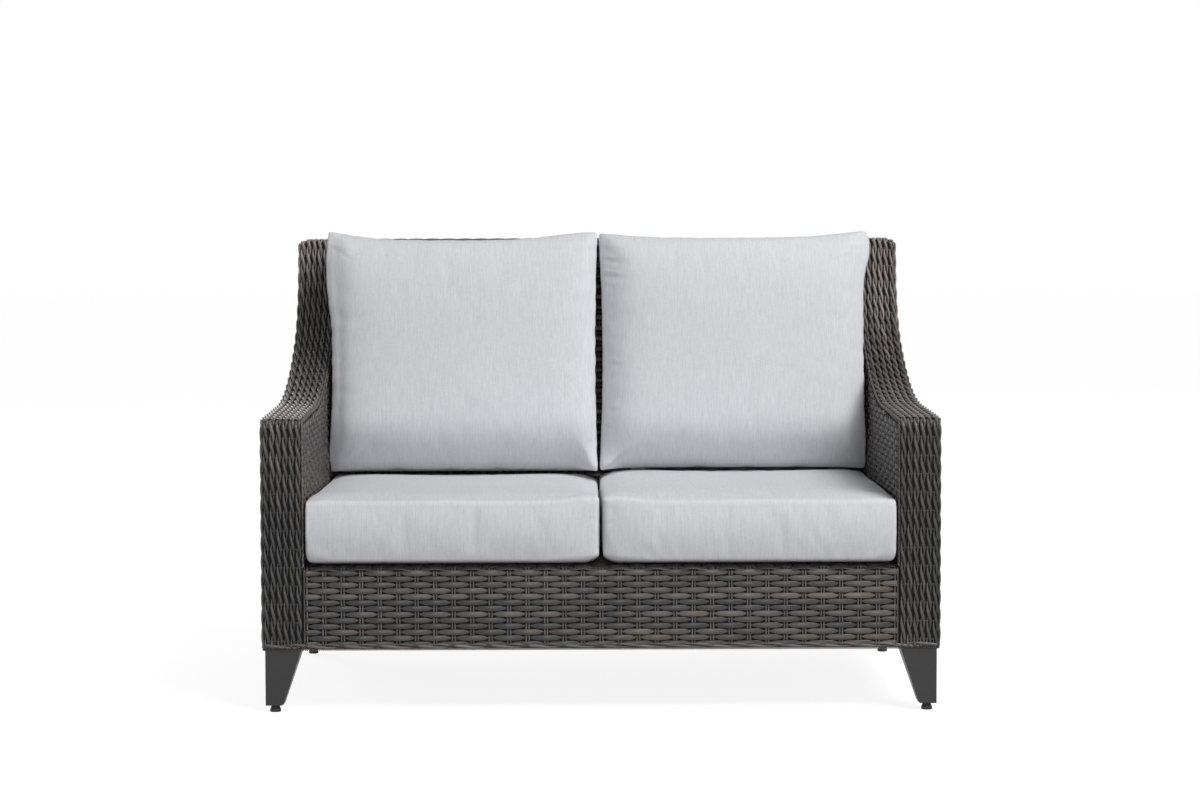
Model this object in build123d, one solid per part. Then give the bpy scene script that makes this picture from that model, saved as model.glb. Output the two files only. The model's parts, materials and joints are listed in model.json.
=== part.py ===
from build123d import *
import os
from math import acos, cos, degrees, radians, sin, tan

os.makedirs("parts", exist_ok=True)

# Whole loveseat: X across, front at -Y, Z up, origin on the floor under the middle
overall_width = 1400
overall_depth = 875
back_overhang = 20
wing_top = 980
weave_bottom = 130
deck_top = 300

# Side view of the arm: a level run, a long sweep, a tight sweep, then the reclined wing.
# The shares give both radii and the wing's straight as parts of the rise from arm to wing top.
arm_width = 89.5
arm_front_height = 608
arm_slope = 2
arm_sweep_share = 2.016
wing_sweep_share = 0.632
wing_straight_share = 0.208
back_recline = 8
back_top_depth = 77.4
edge_radius = 12

# Weave and the tube frame inside it
skin = 7
apron_roll_share = 0.9
border_height = 6
tube = 20
tube_wall = 2
frame_drop = 2
upright_count = 5
cross_bar_count = 5
stretcher_count = 2
post_spacer_count = 3
arm_spacer_count = 2

# Legs and what holds them
leg_foot = 37
leg_wall = 4
leg_flange = 12
leg_base = 34
leg_chamfer = 3
leg_edge_radius = 1.5
leg_plate = 5
bolt_radius = 3
bolt_clearance = 0.3
thread_clearance = 0.05
bolt_length = 14
bolt_head_radius = 5.5
bolt_head_height = 3.5
bolt_spacing = 36

# Levelling glides
glide_height = 15
glide_radius = 11.5
glide_rim = 5
glide_bevel = 1
glide_hub_radius = 7.5
stud_radius = 4
stud_length = 30
stud_bed = 10
insert_radius = 6
insert_length = 20
insert_clearance = 0.05

# Cushions
cushion_clearance = 0.3
arm_clearance = 1.5
centre_gap = 2
cover_thickness = 1.2
core_clearance = 0.4
roll_steps = 3
crown_steps = 4
seat_front = 5
seat_rear_gap = 7
seat_side_height = 146
seat_crown = 6
seat_crown_reach = 90
seat_corner = 26
seat_draw = 5
seat_roll = 15
back_cushion_top = 995
back_cushion_side = 195
back_cushion_crown = 30
back_crown_reach = 130
back_corner = 12
back_draw = 13
back_rear_roll = 14
back_front_roll = 22

# Zips in the covers
zip_length = 460
zip_width = 24
zip_thickness = 1.6
slider_length = 12
slider_width = 9
slider_height = 3.4
slider_corner = 2.25
pull_length = 22
pull_width = 5
pull_thickness = 1.2
pull_overlap = 1.25

overrun = 5

# Places worked out from the sizes above
front = -overall_depth / 2
rear_top = front + overall_depth
rear_base = rear_top - back_overhang
half_width = overall_width / 2
arm_inner_x = half_width - arm_width
tube_outer_x = half_width - skin
tube_inner_x = arm_inner_x + skin
frame_width = tube_outer_x - tube_inner_x
frame_bottom = weave_bottom + frame_drop
frame_front = front + skin
frame_rear = rear_base - skin
weave_start = weave_bottom + border_height
seat_rail_top = deck_top - skin
wing_heading = 90 - back_recline
arm_rise = wing_top - arm_front_height
arm_sweep_radius = arm_sweep_share * arm_rise
wing_sweep_radius = wing_sweep_share * arm_rise
rear_lean = (rear_top - rear_base) / (wing_top - edge_radius - weave_bottom)
cushion_width = (2 * arm_inner_x - centre_gap - 2 * arm_clearance) / 2
cushion_x = (cushion_width + centre_gap) / 2


def save(name, *solids):
    """Write one node, with its solids side by side."""
    export_step(solids[0] if len(solids) == 1 else Compound(children=list(solids)), f"parts/{name}.step")


def save_pair(name, part):
    """Write the left and the right node of a piece that is modelled on the right."""
    save(f"{name}_right", part)
    save(f"{name}_left", mirror(part, about=Plane.YZ))


def both_sides(*parts):
    """The parts of the right side, with their mirror images."""
    return [*parts, *[mirror(part, about=Plane.YZ) for part in parts]]


def block(low, high):
    """A box between two corners."""
    low, high = Vector(*low), Vector(*high)
    size = high - low
    return Pos(low) * Box(size.X, size.Y, size.Z, align=(Align.MIN, Align.MIN, Align.MIN))


def tube_between(low, high, along):
    """A square tube that fills the box between two corners and is open at both ends."""
    outside = block(low, high)
    inside_low = [value + (0 if axis == along else tube_wall) for axis, value in enumerate(low)]
    inside_high = [value - (0 if axis == along else tube_wall) for axis, value in enumerate(high)]
    return outside - block(inside_low, inside_high)


def spread(count, low, high):
    """Evenly spaced places from low to high, both included."""
    return [low + (high - low) * index / (count - 1) for index in range(count)]


def inward(point, heading, inset):
    """The point moved square to its heading, into the arm."""
    angle = radians(heading)
    return (point[0] + inset * sin(angle), point[1] - inset * cos(angle))


def onward(point, heading, length):
    """The point moved along its heading."""
    angle = radians(heading)
    return (point[0] + length * cos(angle), point[1] + length * sin(angle))


def swept(point, heading, radius, turn):
    """The end of an upward arc that starts at the point."""
    chord = 2 * radius * sin(radians(turn / 2))
    return onward(point, heading + turn / 2, chord)


wing_start = onward((rear_top - back_top_depth, wing_top), wing_heading, -wing_straight_share * arm_rise)


def smooth_sweep():
    """Length of the level run, and turn of the long sweep, that lead smoothly up to the wing."""
    slope, wing = radians(arm_slope), radians(wing_heading)
    over = wing_start[0] - front + arm_sweep_radius * sin(slope) - wing_sweep_radius * sin(wing)
    drop = arm_front_height - wing_start[1] + arm_sweep_radius * cos(slope) - wing_sweep_radius * cos(wing)
    radius_step = arm_sweep_radius - wing_sweep_radius
    turn = acos((over * sin(slope) + drop * cos(slope)) / radius_step)
    return over * cos(slope) - drop * sin(slope) - radius_step * sin(turn), degrees(turn)


arm_level_length, arm_sweep_turn = smooth_sweep()
sweep_heading = arm_slope + arm_sweep_turn
wing_sweep_turn = wing_heading - sweep_heading
level_end = onward((front, arm_front_height), arm_slope, arm_level_length)
sweep_end = swept(level_end, arm_slope, arm_sweep_radius, arm_sweep_turn)


def wing_line_y(z, inset=0):
    """Depth of the reclined front of the wings and back at a height."""
    start = inward(wing_start, wing_heading, inset)
    return start[0] + (z - start[1]) * tan(radians(back_recline))


seat_depth = wing_line_y(deck_top) - front - seat_front - seat_rear_gap


def rear_line_y(z, inset=0):
    """Depth of the outer face of the back at a height."""
    return rear_base + (z - weave_bottom) * rear_lean - inset


def rounded(face, corners, radius):
    """The face with its corners nearest to the given places rounded."""
    if radius <= 0:
        return face
    nearest = [min(face.vertices(), key=lambda v: (v.X - y) ** 2 + (v.Y - z) ** 2) for y, z in corners]
    return fillet(nearest, radius)


def side_outline(inset, bottom):
    """Side view of an arm and wing, drawn that far inside the outer faces."""
    level = inward(level_end, arm_slope, inset)
    sweep = inward(sweep_end, sweep_heading, inset)
    wing = inward(wing_start, wing_heading, inset)
    first = (front + inset, level[1] - (level[0] - front - inset) * tan(radians(arm_slope)))
    top = wing_top - inset
    top_front = (wing_line_y(top, inset), top)
    top_rear = (rear_line_y(top, inset), top)
    lines = [
        Line((front + inset, bottom), first),
        Line(first, level),
        JernArc(level, onward((0, 0), arm_slope, 1), arm_sweep_radius + inset, arm_sweep_turn),
        JernArc(sweep, onward((0, 0), sweep_heading, 1), wing_sweep_radius + inset, wing_sweep_turn),
        Line(wing, top_front),
        Line(top_front, top_rear),
        Line(top_rear, (rear_line_y(bottom, inset), bottom)),
        Line((rear_line_y(bottom, inset), bottom), (front + inset, bottom)),
    ]
    return rounded(make_face(lines), [first, top_front, top_rear], edge_radius - inset)


def back_outline(inset, bottom):
    """Section through the back between the wings, drawn that far inside its faces."""
    top = wing_top - inset
    top_front = (wing_line_y(top, inset), top)
    top_rear = (rear_line_y(top, inset), top)
    corners = [
        (wing_line_y(bottom, inset), bottom),
        top_front,
        top_rear,
        (rear_line_y(bottom, inset), bottom),
    ]
    return rounded(make_face(Polyline(*corners, close=True)), [top_front, top_rear], edge_radius - inset)


def side_prism(outline, low_x, high_x):
    """A side view pushed out from one X to another."""
    return Pos(low_x, 0, 0) * extrude(Plane.YZ * outline, amount=high_x - low_x)


def span_box(low_y, high_y, low_z, high_z):
    """A region across the whole width, used to keep a stretch of a prism."""
    reach = half_width + overrun
    return block((-reach, low_y, low_z), (reach, high_y, high_z))


def strip(line_y, near, far, low_z, high_z):
    """Side view of a layer that follows the wing front or the rear face between two heights."""
    corners = [
        (line_y(low_z, near), low_z),
        (line_y(high_z, near), high_z),
        (line_y(high_z, far), high_z),
        (line_y(low_z, far), low_z),
    ]
    return make_face(Polyline(*corners, close=True))


def leaning_tube(line_y, low_x, low_z, high_z):
    """A square tube that leans with the wing front or the rear face, just inside the weave."""
    outside = side_prism(strip(line_y, skin, skin + tube, low_z, high_z), low_x, low_x + tube)
    inside = strip(line_y, skin + tube_wall, skin + tube - tube_wall, low_z, high_z)
    return outside - side_prism(inside, low_x + tube_wall, low_x + tube - tube_wall)


def side_ring(near, far, low_x, high_x):
    """The layer of the side view between two depths from its outer faces, open at the bottom."""
    outer = side_prism(side_outline(near, weave_bottom), low_x, high_x)
    return outer - side_prism(side_outline(far, weave_bottom - overrun), low_x, high_x)


def over_the_top(ring, cut_front_z, cut_rear_z, depth):
    """The stretch of a ring above the front post and above the leaning rear part."""
    high = span_box(front - overrun, rear_top + overrun, cut_front_z, wing_top + overrun)
    rear = strip(rear_line_y, -overrun, depth, weave_bottom - overrun, cut_rear_z)
    return (ring & high) - side_prism(rear, 0, overall_width)


# Heights where the posts meet the bent tubes, and where the edge weave starts
depth_of_tube = skin + tube
post_top = inward(level_end, arm_slope, depth_of_tube)[1] - (
    level_end[0] - front - depth_of_tube
) * tan(radians(arm_slope))
rear_post_top = wing_top - depth_of_tube
post_weave_top = arm_front_height - 2 * edge_radius
rear_weave_top = wing_top - 2 * edge_radius
tube_lows = [tube_inner_x, tube_outer_x - tube]
gap_low = tube_inner_x + tube
gap_high = tube_outer_x - tube
rail_low = seat_rail_top - tube
lower_rail_top = frame_bottom + tube


def front_posts():
    """An upright outer and inner tube in the front of each arm."""
    low_y, high_y = frame_front, frame_front + tube
    posts = [
        tube_between((x, low_y, frame_bottom), (x + tube, high_y, post_top), 2) for x in tube_lows
    ]
    return both_sides(*posts)


def rear_posts():
    """An outer and inner tube in the rear of each side, leaning with the rear face."""
    return both_sides(*[leaning_tube(rear_line_y, x, frame_bottom, rear_post_top) for x in tube_lows])


def arm_tubes():
    """The bent tubes over the arm, up the sweep and over the wing."""
    bent = []
    for x in tube_lows:
        inner_depth = depth_of_tube - tube_wall
        outside = side_ring(skin, depth_of_tube, x, x + tube)
        inside = side_ring(skin + tube_wall, inner_depth, x + tube_wall, x + tube - tube_wall)
        bent.append(over_the_top(outside - inside, post_top, rear_post_top, depth_of_tube))
    return bent


def frame_spacers():
    """Short pieces that tie the outer tube of each side to the inner tube."""
    low_y, high_y = frame_front, frame_front + tube
    first_z = lower_rail_top + tube
    spacers = []
    for z in spread(post_spacer_count, first_z, post_top - tube):
        spacers.append(block((gap_low, low_y, z), (gap_high, high_y, z + tube)))
        rear_y = rear_line_y(z + tube, depth_of_tube)
        spacers.append(block((gap_low, rear_y, z), (gap_high, rear_line_y(z, skin), z + tube)))
    layer = side_ring(skin, depth_of_tube, gap_low, gap_high)
    for y in spread(arm_spacer_count, front + arm_level_length / 2, sweep_end[0] - tube):
        spacers.append(layer & span_box(y, y + tube, post_top, wing_top))
    return both_sides(*spacers)


def side_rails():
    """Rails along the bottom of each side, and at seat height in its inner plane."""
    low_y = frame_front + tube
    rails = []
    for x in tube_lows:
        high_y = rear_line_y(frame_bottom, depth_of_tube)
        rails.append(tube_between((x, low_y, frame_bottom), (x + tube, high_y, lower_rail_top), 1))
    high_y = rear_line_y(rail_low, depth_of_tube)
    seat_rail_high = (tube_inner_x + tube, high_y, seat_rail_top)
    seat_rail = tube_between((tube_inner_x, low_y, rail_low), seat_rail_high, 1)
    return both_sides(*rails, seat_rail)


def cross_rail(low_y, low_z):
    """A rail from one inner side tube to the other."""
    return tube_between((-tube_inner_x, low_y, low_z), (tube_inner_x, low_y + tube, low_z + tube), 0)


def upright_places():
    """Low X of the uprights and cross bars, evenly spaced between the sides."""
    return spread(upright_count, -tube_inner_x, tube_inner_x - tube)


def apron_uprights():
    """Short posts behind the front apron."""
    low_y, high_y = frame_front, frame_front + tube
    return [
        tube_between((x, low_y, lower_rail_top), (x + tube, high_y, rail_low), 2)
        for x in upright_places()[1:-1]
    ]


def bars_to_the_back(count, reach, low_z, high_y):
    """Bars from the front rail to the rear one, evenly spaced across the seat."""
    low_y = frame_front + tube
    places = spread(count, -reach, reach)
    return [
        tube_between((x - tube / 2, low_y, low_z), (x + tube / 2, high_y, low_z + tube), 1) for x in places
    ]


def back_top_rails():
    """Front and rear rail under the top edge of the back, with the spacers between them."""
    corner_gap = (edge_radius - skin) * (1 - sin(radians(45)))
    low_z = rear_post_top
    high_z = low_z + tube - corner_gap
    front_y = wing_line_y(high_z, skin) + corner_gap
    rear_y = rear_line_y(low_z, skin) - corner_gap
    rails = [
        tube_between((-tube_inner_x, y, low_z), (tube_inner_x, y + tube, high_z), 0)
        for y in (front_y, rear_y - tube)
    ]
    spacers = [
        block((x, front_y + tube, low_z), (x + tube, rear_y - tube, high_z)) for x in upright_places()[1:-1]
    ]
    return rails + spacers


def leg_section(z, inset):
    """Plan of the front right leg at a height, as a face: two sides upright, two drawn in."""
    share = (z - glide_height) / (frame_bottom - glide_height)
    width = leg_foot + (frame_width - leg_foot) * share
    middle = Vector(tube_outer_x - width / 2, frame_front + width / 2, z)
    return Pos(middle) * Rectangle(width - 2 * inset, width - 2 * inset)


foot_x = tube_outer_x - leg_foot / 2
foot_y = frame_front + leg_foot / 2
bolt_x = (tube_inner_x + tube_outer_x) / 2
bolt_ys = [frame_front + frame_width / 2 + side * bolt_spacing / 2 for side in (-1, 1)]


def upright_cylinder(x, y, low_z, high_z, radius):
    """A vertical cylinder between two heights."""
    standing = (Align.CENTER, Align.CENTER, Align.MIN)
    return Pos(x, y, low_z) * Cylinder(radius, high_z - low_z, align=standing)


def leg():
    """A hollow tapered leg under the front right corner."""
    body = loft([leg_section(glide_height, 0), leg_section(frame_bottom, 0)], ruled=True)
    bottom = body.faces().sort_by(Axis.Z)[0]
    inner_edges = bottom.edges().sort_by(Axis.X)[:1] + bottom.edges().sort_by(Axis.Y)[-1:]
    body = chamfer(inner_edges, leg_chamfer)
    tall_edges = [edge for edge in body.edges() if edge.bounding_box().size.Z > leg_base]
    body = fillet(tall_edges, leg_edge_radius)
    low_z, high_z = glide_height + leg_base, frame_bottom - leg_flange
    body -= loft([leg_section(low_z, leg_wall), leg_section(high_z, leg_wall)], ruled=True)
    insert_top = glide_height + insert_length
    insert_bore = insert_radius + insert_clearance
    body -= upright_cylinder(foot_x, foot_y, glide_height - overrun, insert_top, insert_bore)
    stud_top = glide_height - stud_bed + stud_length
    stud_bore = stud_radius + insert_clearance
    body -= upright_cylinder(foot_x, foot_y, glide_height, stud_top + overrun, stud_bore)
    for y in bolt_ys:
        body -= upright_cylinder(
            bolt_x, y, frame_bottom - leg_flange, frame_bottom + overrun, bolt_radius + thread_clearance
        )
    return body


def leg_plate_and_bolts():
    """The plate between the side tubes that the leg is bolted to, and its two bolts."""
    top = frame_bottom + leg_plate
    plate = block((gap_low, frame_front, frame_bottom), (gap_high, frame_front + frame_width, top))
    bolts = []
    for y in bolt_ys:
        plate -= upright_cylinder(
            bolt_x, y, frame_bottom - overrun, top + overrun, bolt_radius + bolt_clearance
        )
        bolt = upright_cylinder(bolt_x, y, top - bolt_length, top, bolt_radius)
        head = upright_cylinder(bolt_x, y, top, top + bolt_head_height, bolt_head_radius)
        bolts.append(bolt + head)
    return plate, bolts


def leg_insert():
    """The threaded insert that the glide's stud turns in."""
    top = glide_height + insert_length
    sleeve = upright_cylinder(foot_x, foot_y, glide_height, top, insert_radius)
    return sleeve - upright_cylinder(
        foot_x, foot_y, glide_height - overrun, top + overrun, stud_radius + thread_clearance
    )


def glide():
    """A moulded pad with its threaded stud, screwed fully in."""
    profile = make_face(
        Polyline(
            (0, 0),
            (glide_radius - glide_bevel, 0),
            (glide_radius, glide_bevel),
            (glide_radius, glide_rim),
            (glide_hub_radius, glide_height),
            (0, glide_height),
            close=True,
        )
    )
    pad = Pos(foot_x, foot_y, 0) * revolve(Plane.XZ * profile, axis=Axis.Z)
    low_z = glide_height - stud_bed
    pad -= upright_cylinder(foot_x, foot_y, low_z, glide_height + overrun, stud_radius + thread_clearance)
    stud = upright_cylinder(foot_x, foot_y, low_z, low_z + stud_length, stud_radius)
    return pad, stud


middle_y = (frame_front + frame_rear) / 2


def four_corners(part):
    """The part at each corner, by name, from the one modelled at the front right."""
    rear = mirror(part, about=Plane.XZ.offset(-middle_y))
    return {
        "front_right": part,
        "front_left": mirror(part, about=Plane.YZ),
        "rear_right": rear,
        "rear_left": mirror(rear, about=Plane.YZ),
    }


def front_apron():
    """Weave across the front, rolled over the front rail."""
    apron = block((-arm_inner_x, front, weave_start), (arm_inner_x, front + skin, deck_top))
    apron += block((-arm_inner_x, front, seat_rail_top), (arm_inner_x, front + depth_of_tube, deck_top))
    rolled = apron.edges().filter_by(Axis.X).sort_by(lambda edge: edge.center().Z - edge.center().Y)[-1]
    return fillet(rolled, apron_roll_share * skin)


def bottom_border():
    """The braid that closes the bottom edge of the weave, one run on each face."""
    top = weave_start
    front_run = block((-half_width, front, weave_bottom), (half_width, front + skin, top))
    rear_y = rear_line_y(top, skin)
    rear_run = block((-half_width, rear_y, weave_bottom), (half_width, rear_y + skin, top))
    side_run = block((half_width - skin, front + skin, weave_bottom), (half_width, rear_y, top))
    return [front_run, rear_run, *both_sides(side_run)]


def arm_inner_weave():
    """Weave on the inner face of an arm, from the seat deck to the edge band."""
    panel = side_prism(side_outline(skin, deck_top), arm_inner_x, arm_inner_x + skin)
    behind = strip(wing_line_y, 0, overall_depth, deck_top - overrun, wing_top)
    return panel - side_prism(behind, 0, overall_width)


def layer_prism(line_y, low_z, high_z, reach):
    """A woven skin on the wing front or rear line, out to a reach on both sides."""
    return side_prism(strip(line_y, 0, skin, low_z, high_z), -reach, reach)


def back_top_weave():
    """Weave over the top edge of the back, between the wings."""
    ring = side_prism(back_outline(0, deck_top), -arm_inner_x, arm_inner_x)
    ring -= side_prism(back_outline(skin, deck_top), -arm_inner_x, arm_inner_x)
    return ring & span_box(front, rear_top + overrun, rear_weave_top, wing_top + overrun)


def pillow_outline(width, length, corner, side_draw, low_draw, high_draw):
    """A cushion's plan: sides drawn in between rounded corners."""
    x, y = width / 2, length / 2
    mid = corner * (1 - sin(radians(45)))
    signs = [(1, 1), (-1, 1), (-1, -1), (1, -1)]
    draws = [high_draw, side_draw, low_draw, side_draw]
    edges = []
    for index, (sx, sy) in enumerate(signs):
        nx, ny = signs[(index + 1) % len(signs)]
        across = sy == ny
        enter = (sx * x, sy * (y - corner))
        leave = (sx * (x - corner), sy * y)
        if not across:
            enter, leave = leave, enter
        edges.append(ThreePointArc(enter, (sx * (x - mid), sy * (y - mid)), leave))
        end = (nx * (x - corner), ny * y) if across else (nx * x, ny * (y - corner))
        draw = draws[index]
        middle = (0, sy * (y - draw)) if across else (sx * (x - draw), 0)
        edges.append(ThreePointArc(leave, middle, end) if draw else Line(leave, end))
    return make_face(edges)


def cushion_levels(side_height, crown, low_roll, high_roll, crown_reach):
    """Height and inset of each section: a rolled low edge, a rolled high edge, then the crown."""
    levels = []
    for step in range(roll_steps + 1):
        angle = radians(90 * step / roll_steps)
        levels.append((low_roll * (1 - cos(angle)), low_roll * (1 - sin(angle))))
    for step in range(roll_steps + 1):
        angle = radians(90 * step / roll_steps)
        levels.append((side_height - high_roll * (1 - sin(angle)), high_roll * (1 - cos(angle))))
    for step in range(1, crown_steps + 1):
        share = step / crown_steps
        levels.append((side_height + crown * share * (2 - share), high_roll + crown_reach * share))
    return levels


def cushion_form(levels, length, corner, draws, place, shrink):
    """A cushion through its sections, made smaller all round by the shrink."""
    height = levels[-1][0]
    sections = []
    for level, inset in levels:
        level = shrink + level * (height - 2 * shrink) / height
        inset = 2 * (inset + shrink)
        outline = pillow_outline(cushion_width - inset, length - inset, corner, *draws)
        sections.append(place(level) * outline)
    return loft(sections, ruled=True)


def seat_form(shrink=0):
    """The right seat cushion, standing on the deck."""
    levels = cushion_levels(seat_side_height, seat_crown, seat_roll, seat_roll, seat_crown_reach)
    middle = front + seat_front + seat_depth / 2
    base = deck_top + cushion_clearance
    draws = (seat_draw, seat_draw, 0)
    return cushion_form(
        levels, seat_depth, seat_corner, draws, lambda level: Pos(cushion_x, middle, base + level), shrink
    )


seat_cushion_top = deck_top + cushion_clearance + seat_side_height + seat_crown
back_cushion_low = seat_cushion_top + cushion_clearance
back_cushion_length = (back_cushion_top - back_cushion_low) / cos(radians(back_recline))


def back_form(shrink=0):
    """The right back cushion, leaning on the reclined back with its bottom level."""
    levels = cushion_levels(
        back_cushion_side, back_cushion_crown, back_rear_roll, back_front_roll, back_crown_reach
    )
    middle_z = (back_cushion_low + back_cushion_top) / 2
    face_y = wing_line_y(middle_z) - cushion_clearance / cos(radians(back_recline))
    tilt = 90 - back_recline

    def place(level):
        return Pos(cushion_x, face_y - level, middle_z) * Rot(tilt, 0, 0)

    draws = (back_draw, 0, back_draw)
    return cushion_form(levels, back_cushion_length, back_corner, draws, place, shrink)


def cushion(form):
    """The cover of a cushion as a thin closed shell, and the core inside it."""
    cover = form() - form(cover_thickness)
    return cover, form(cover_thickness + core_clearance)


zip_reach = zip_length / 2


def zip_tape(form, region):
    """A zip sewn on a cover: a strip that follows the cover within a region."""
    return (form(-zip_thickness) - form()) & region


def zip_slider(x, y, z, away):
    """A zip slider with its pull tab, turned away from the cover about X."""
    body = Box(slider_length, slider_width, slider_height, align=(Align.MIN, Align.CENTER, Align.MIN))
    body = fillet(body.edges().filter_by(Axis.Z), slider_corner)
    tab = Pos(slider_length - pull_overlap, 0, slider_height - pull_thickness) * Box(
        pull_length, pull_width, pull_thickness, align=(Align.MIN, Align.CENTER, Align.MIN)
    )
    return Pos(x, y, z) * Rot(away, 0, 0) * (body + tab)


def seat_zip():
    """The zip along the rear side of the right seat cushion, and its slider."""
    rear = front + seat_front + seat_depth
    z = deck_top + cushion_clearance + seat_side_height / 2
    region = block(
        (cushion_x - zip_reach, rear - overrun, z - zip_width / 2),
        (cushion_x + zip_reach, rear + overrun, z + zip_width / 2),
    )
    slider_y = rear + zip_thickness + cushion_clearance
    return zip_tape(seat_form, region), zip_slider(cushion_x - zip_reach, slider_y, z, -90)


def back_zip():
    """The zip along the bottom of the right back cushion near its rear, and its slider."""
    y = wing_line_y(back_cushion_low) - back_rear_roll - zip_width / 2
    region = block(
        (cushion_x - zip_reach, y - zip_width / 2, back_cushion_low - overrun),
        (cushion_x + zip_reach, y + zip_width / 2, back_cushion_low + overrun),
    )
    slider_z = back_cushion_low - zip_thickness - cushion_clearance
    return zip_tape(back_form, region), zip_slider(cushion_x - zip_reach, y, slider_z, 180)


save("front_posts", *front_posts())
save("rear_posts", *rear_posts())
right_tubes = arm_tubes()
save("arm_tubes_right", *right_tubes)
save("arm_tubes_left", *[mirror(part, about=Plane.YZ) for part in right_tubes])
save("frame_spacers", *frame_spacers())
save("side_rails", *side_rails())
rear_rail_y = rear_line_y(frame_bottom, depth_of_tube)
seat_rear_y = wing_line_y(seat_rail_top)
save("seat_cross_rails", cross_rail(frame_front, rail_low), cross_rail(seat_rear_y, rail_low))
save("bottom_cross_rails", cross_rail(frame_front, frame_bottom), cross_rail(rear_rail_y, frame_bottom))
save("apron_uprights", *apron_uprights())
save("back_top_rails", *back_top_rails())
save(
    "back_inner_uprights",
    *[leaning_tube(wing_line_y, x, seat_rail_top, rear_post_top) for x in upright_places()],
)
save(
    "back_outer_uprights",
    *[leaning_tube(rear_line_y, x, lower_rail_top, rear_post_top) for x in upright_places()],
)
seat_bar_reach = upright_places()[-2] + tube / 2
save(
    "seat_cross_bars",
    *bars_to_the_back(cross_bar_count, seat_bar_reach, rail_low, seat_rear_y),
)
save(
    "lower_stretchers",
    *bars_to_the_back(stretcher_count, seat_bar_reach / 2, frame_bottom, rear_rail_y),
)

for corner, part in four_corners(leg()).items():
    save(f"leg_{corner}", part)
plate, bolts = leg_plate_and_bolts()
save("leg_plates", *four_corners(plate).values())
save("leg_bolts", *[part for bolt in bolts for part in four_corners(bolt).values()])
save("leg_inserts", *four_corners(leg_insert()).values())
pad, stud = glide()
for corner, part in four_corners(pad).items():
    save(f"glide_pad_{corner}", part)
for corner, part in four_corners(stud).items():
    save(f"glide_stud_{corner}", part)

reach_x = (arm_inner_x, half_width)
post_weave_high = (half_width, front + skin, post_weave_top)
save_pair("front_post_weave", block((arm_inner_x, front, weave_start), post_weave_high))
save_pair("arm_top_weave", over_the_top(side_ring(0, skin, *reach_x), post_weave_top, rear_weave_top, skin))
save_pair("arm_outer_weave", side_prism(side_outline(skin, weave_start), half_width - skin, half_width))
save_pair("arm_inner_weave", arm_inner_weave())
save("front_apron", front_apron())
save("bottom_border", *bottom_border())
deck_low = (-tube_inner_x, front + depth_of_tube, seat_rail_top)
save("seat_deck", block(deck_low, (tube_inner_x, wing_line_y(seat_rail_top, skin), deck_top)))
save("back_inner_weave", layer_prism(wing_line_y, deck_top, rear_weave_top, arm_inner_x))
save("back_outer_weave", layer_prism(rear_line_y, weave_start, rear_weave_top, half_width))
save("back_top_weave", back_top_weave())

for name, form, closure in (("seat", seat_form, seat_zip), ("back", back_form, back_zip)):
    cover, core = cushion(form)
    tape, slider = closure()
    save_pair(f"{name}_cushion_cover", cover)
    save_pair(f"{name}_cushion_core", core)
    save_pair(f"{name}_cushion_zip", tape)
    save_pair(f"{name}_zip_slider", slider)
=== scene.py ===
import json
from math import atan2, cos, pi, radians, sin, tan

import bpy
import numpy as np
from mathutils import Matrix, Vector, kdtree


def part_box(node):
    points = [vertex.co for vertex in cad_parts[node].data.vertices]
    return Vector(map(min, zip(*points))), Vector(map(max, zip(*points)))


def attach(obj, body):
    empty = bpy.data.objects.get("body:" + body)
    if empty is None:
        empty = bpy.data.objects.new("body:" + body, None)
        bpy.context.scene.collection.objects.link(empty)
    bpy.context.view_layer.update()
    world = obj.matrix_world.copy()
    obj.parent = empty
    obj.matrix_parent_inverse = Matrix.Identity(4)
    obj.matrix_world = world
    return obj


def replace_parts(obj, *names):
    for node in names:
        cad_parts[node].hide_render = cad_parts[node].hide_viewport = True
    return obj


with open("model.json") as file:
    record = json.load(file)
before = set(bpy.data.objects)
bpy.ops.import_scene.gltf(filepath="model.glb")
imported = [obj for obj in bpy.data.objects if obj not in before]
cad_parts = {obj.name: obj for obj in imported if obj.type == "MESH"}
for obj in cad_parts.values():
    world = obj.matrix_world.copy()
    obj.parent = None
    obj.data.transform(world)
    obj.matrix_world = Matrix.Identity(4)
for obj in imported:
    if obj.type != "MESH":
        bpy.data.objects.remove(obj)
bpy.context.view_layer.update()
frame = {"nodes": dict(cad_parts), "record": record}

MM = 0.001


def low(node):
    """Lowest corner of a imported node."""
    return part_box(node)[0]


def high(node):
    """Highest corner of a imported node."""
    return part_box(node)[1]


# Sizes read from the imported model, in metres, and the lean of its rear
half_width = high("arm_outer_weave_right").x
arm_inner_x = low("front_post_weave_right").x
front_y = low("front_post_weave_right").y
skin = high("front_post_weave_right").y - front_y
weave_bottom = low("bottom_border").z
weave_start = low("front_apron").z
deck_top = high("seat_deck").z
wing_top = high("arm_top_weave_right").z
rear_top_y = high("arm_top_weave_right").y
rear_lean = 20 * MM
rear_base_y = rear_top_y - rear_lean

# Side view of the arm, as it is built: level run, long sweep, tight sweep, reclined wing
arm_front_height = 608 * MM
arm_slope = radians(2)
arm_rise = wing_top - arm_front_height
arm_sweep_radius = 2.016 * arm_rise
wing_sweep_radius = 0.632 * arm_rise
wing_straight = 0.208 * arm_rise
back_recline = radians(8)
back_top_depth = 77.4 * MM
edge_radius = 12 * MM
arm_front_radius = 22 * MM
mid_skin = skin / 2

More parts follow.
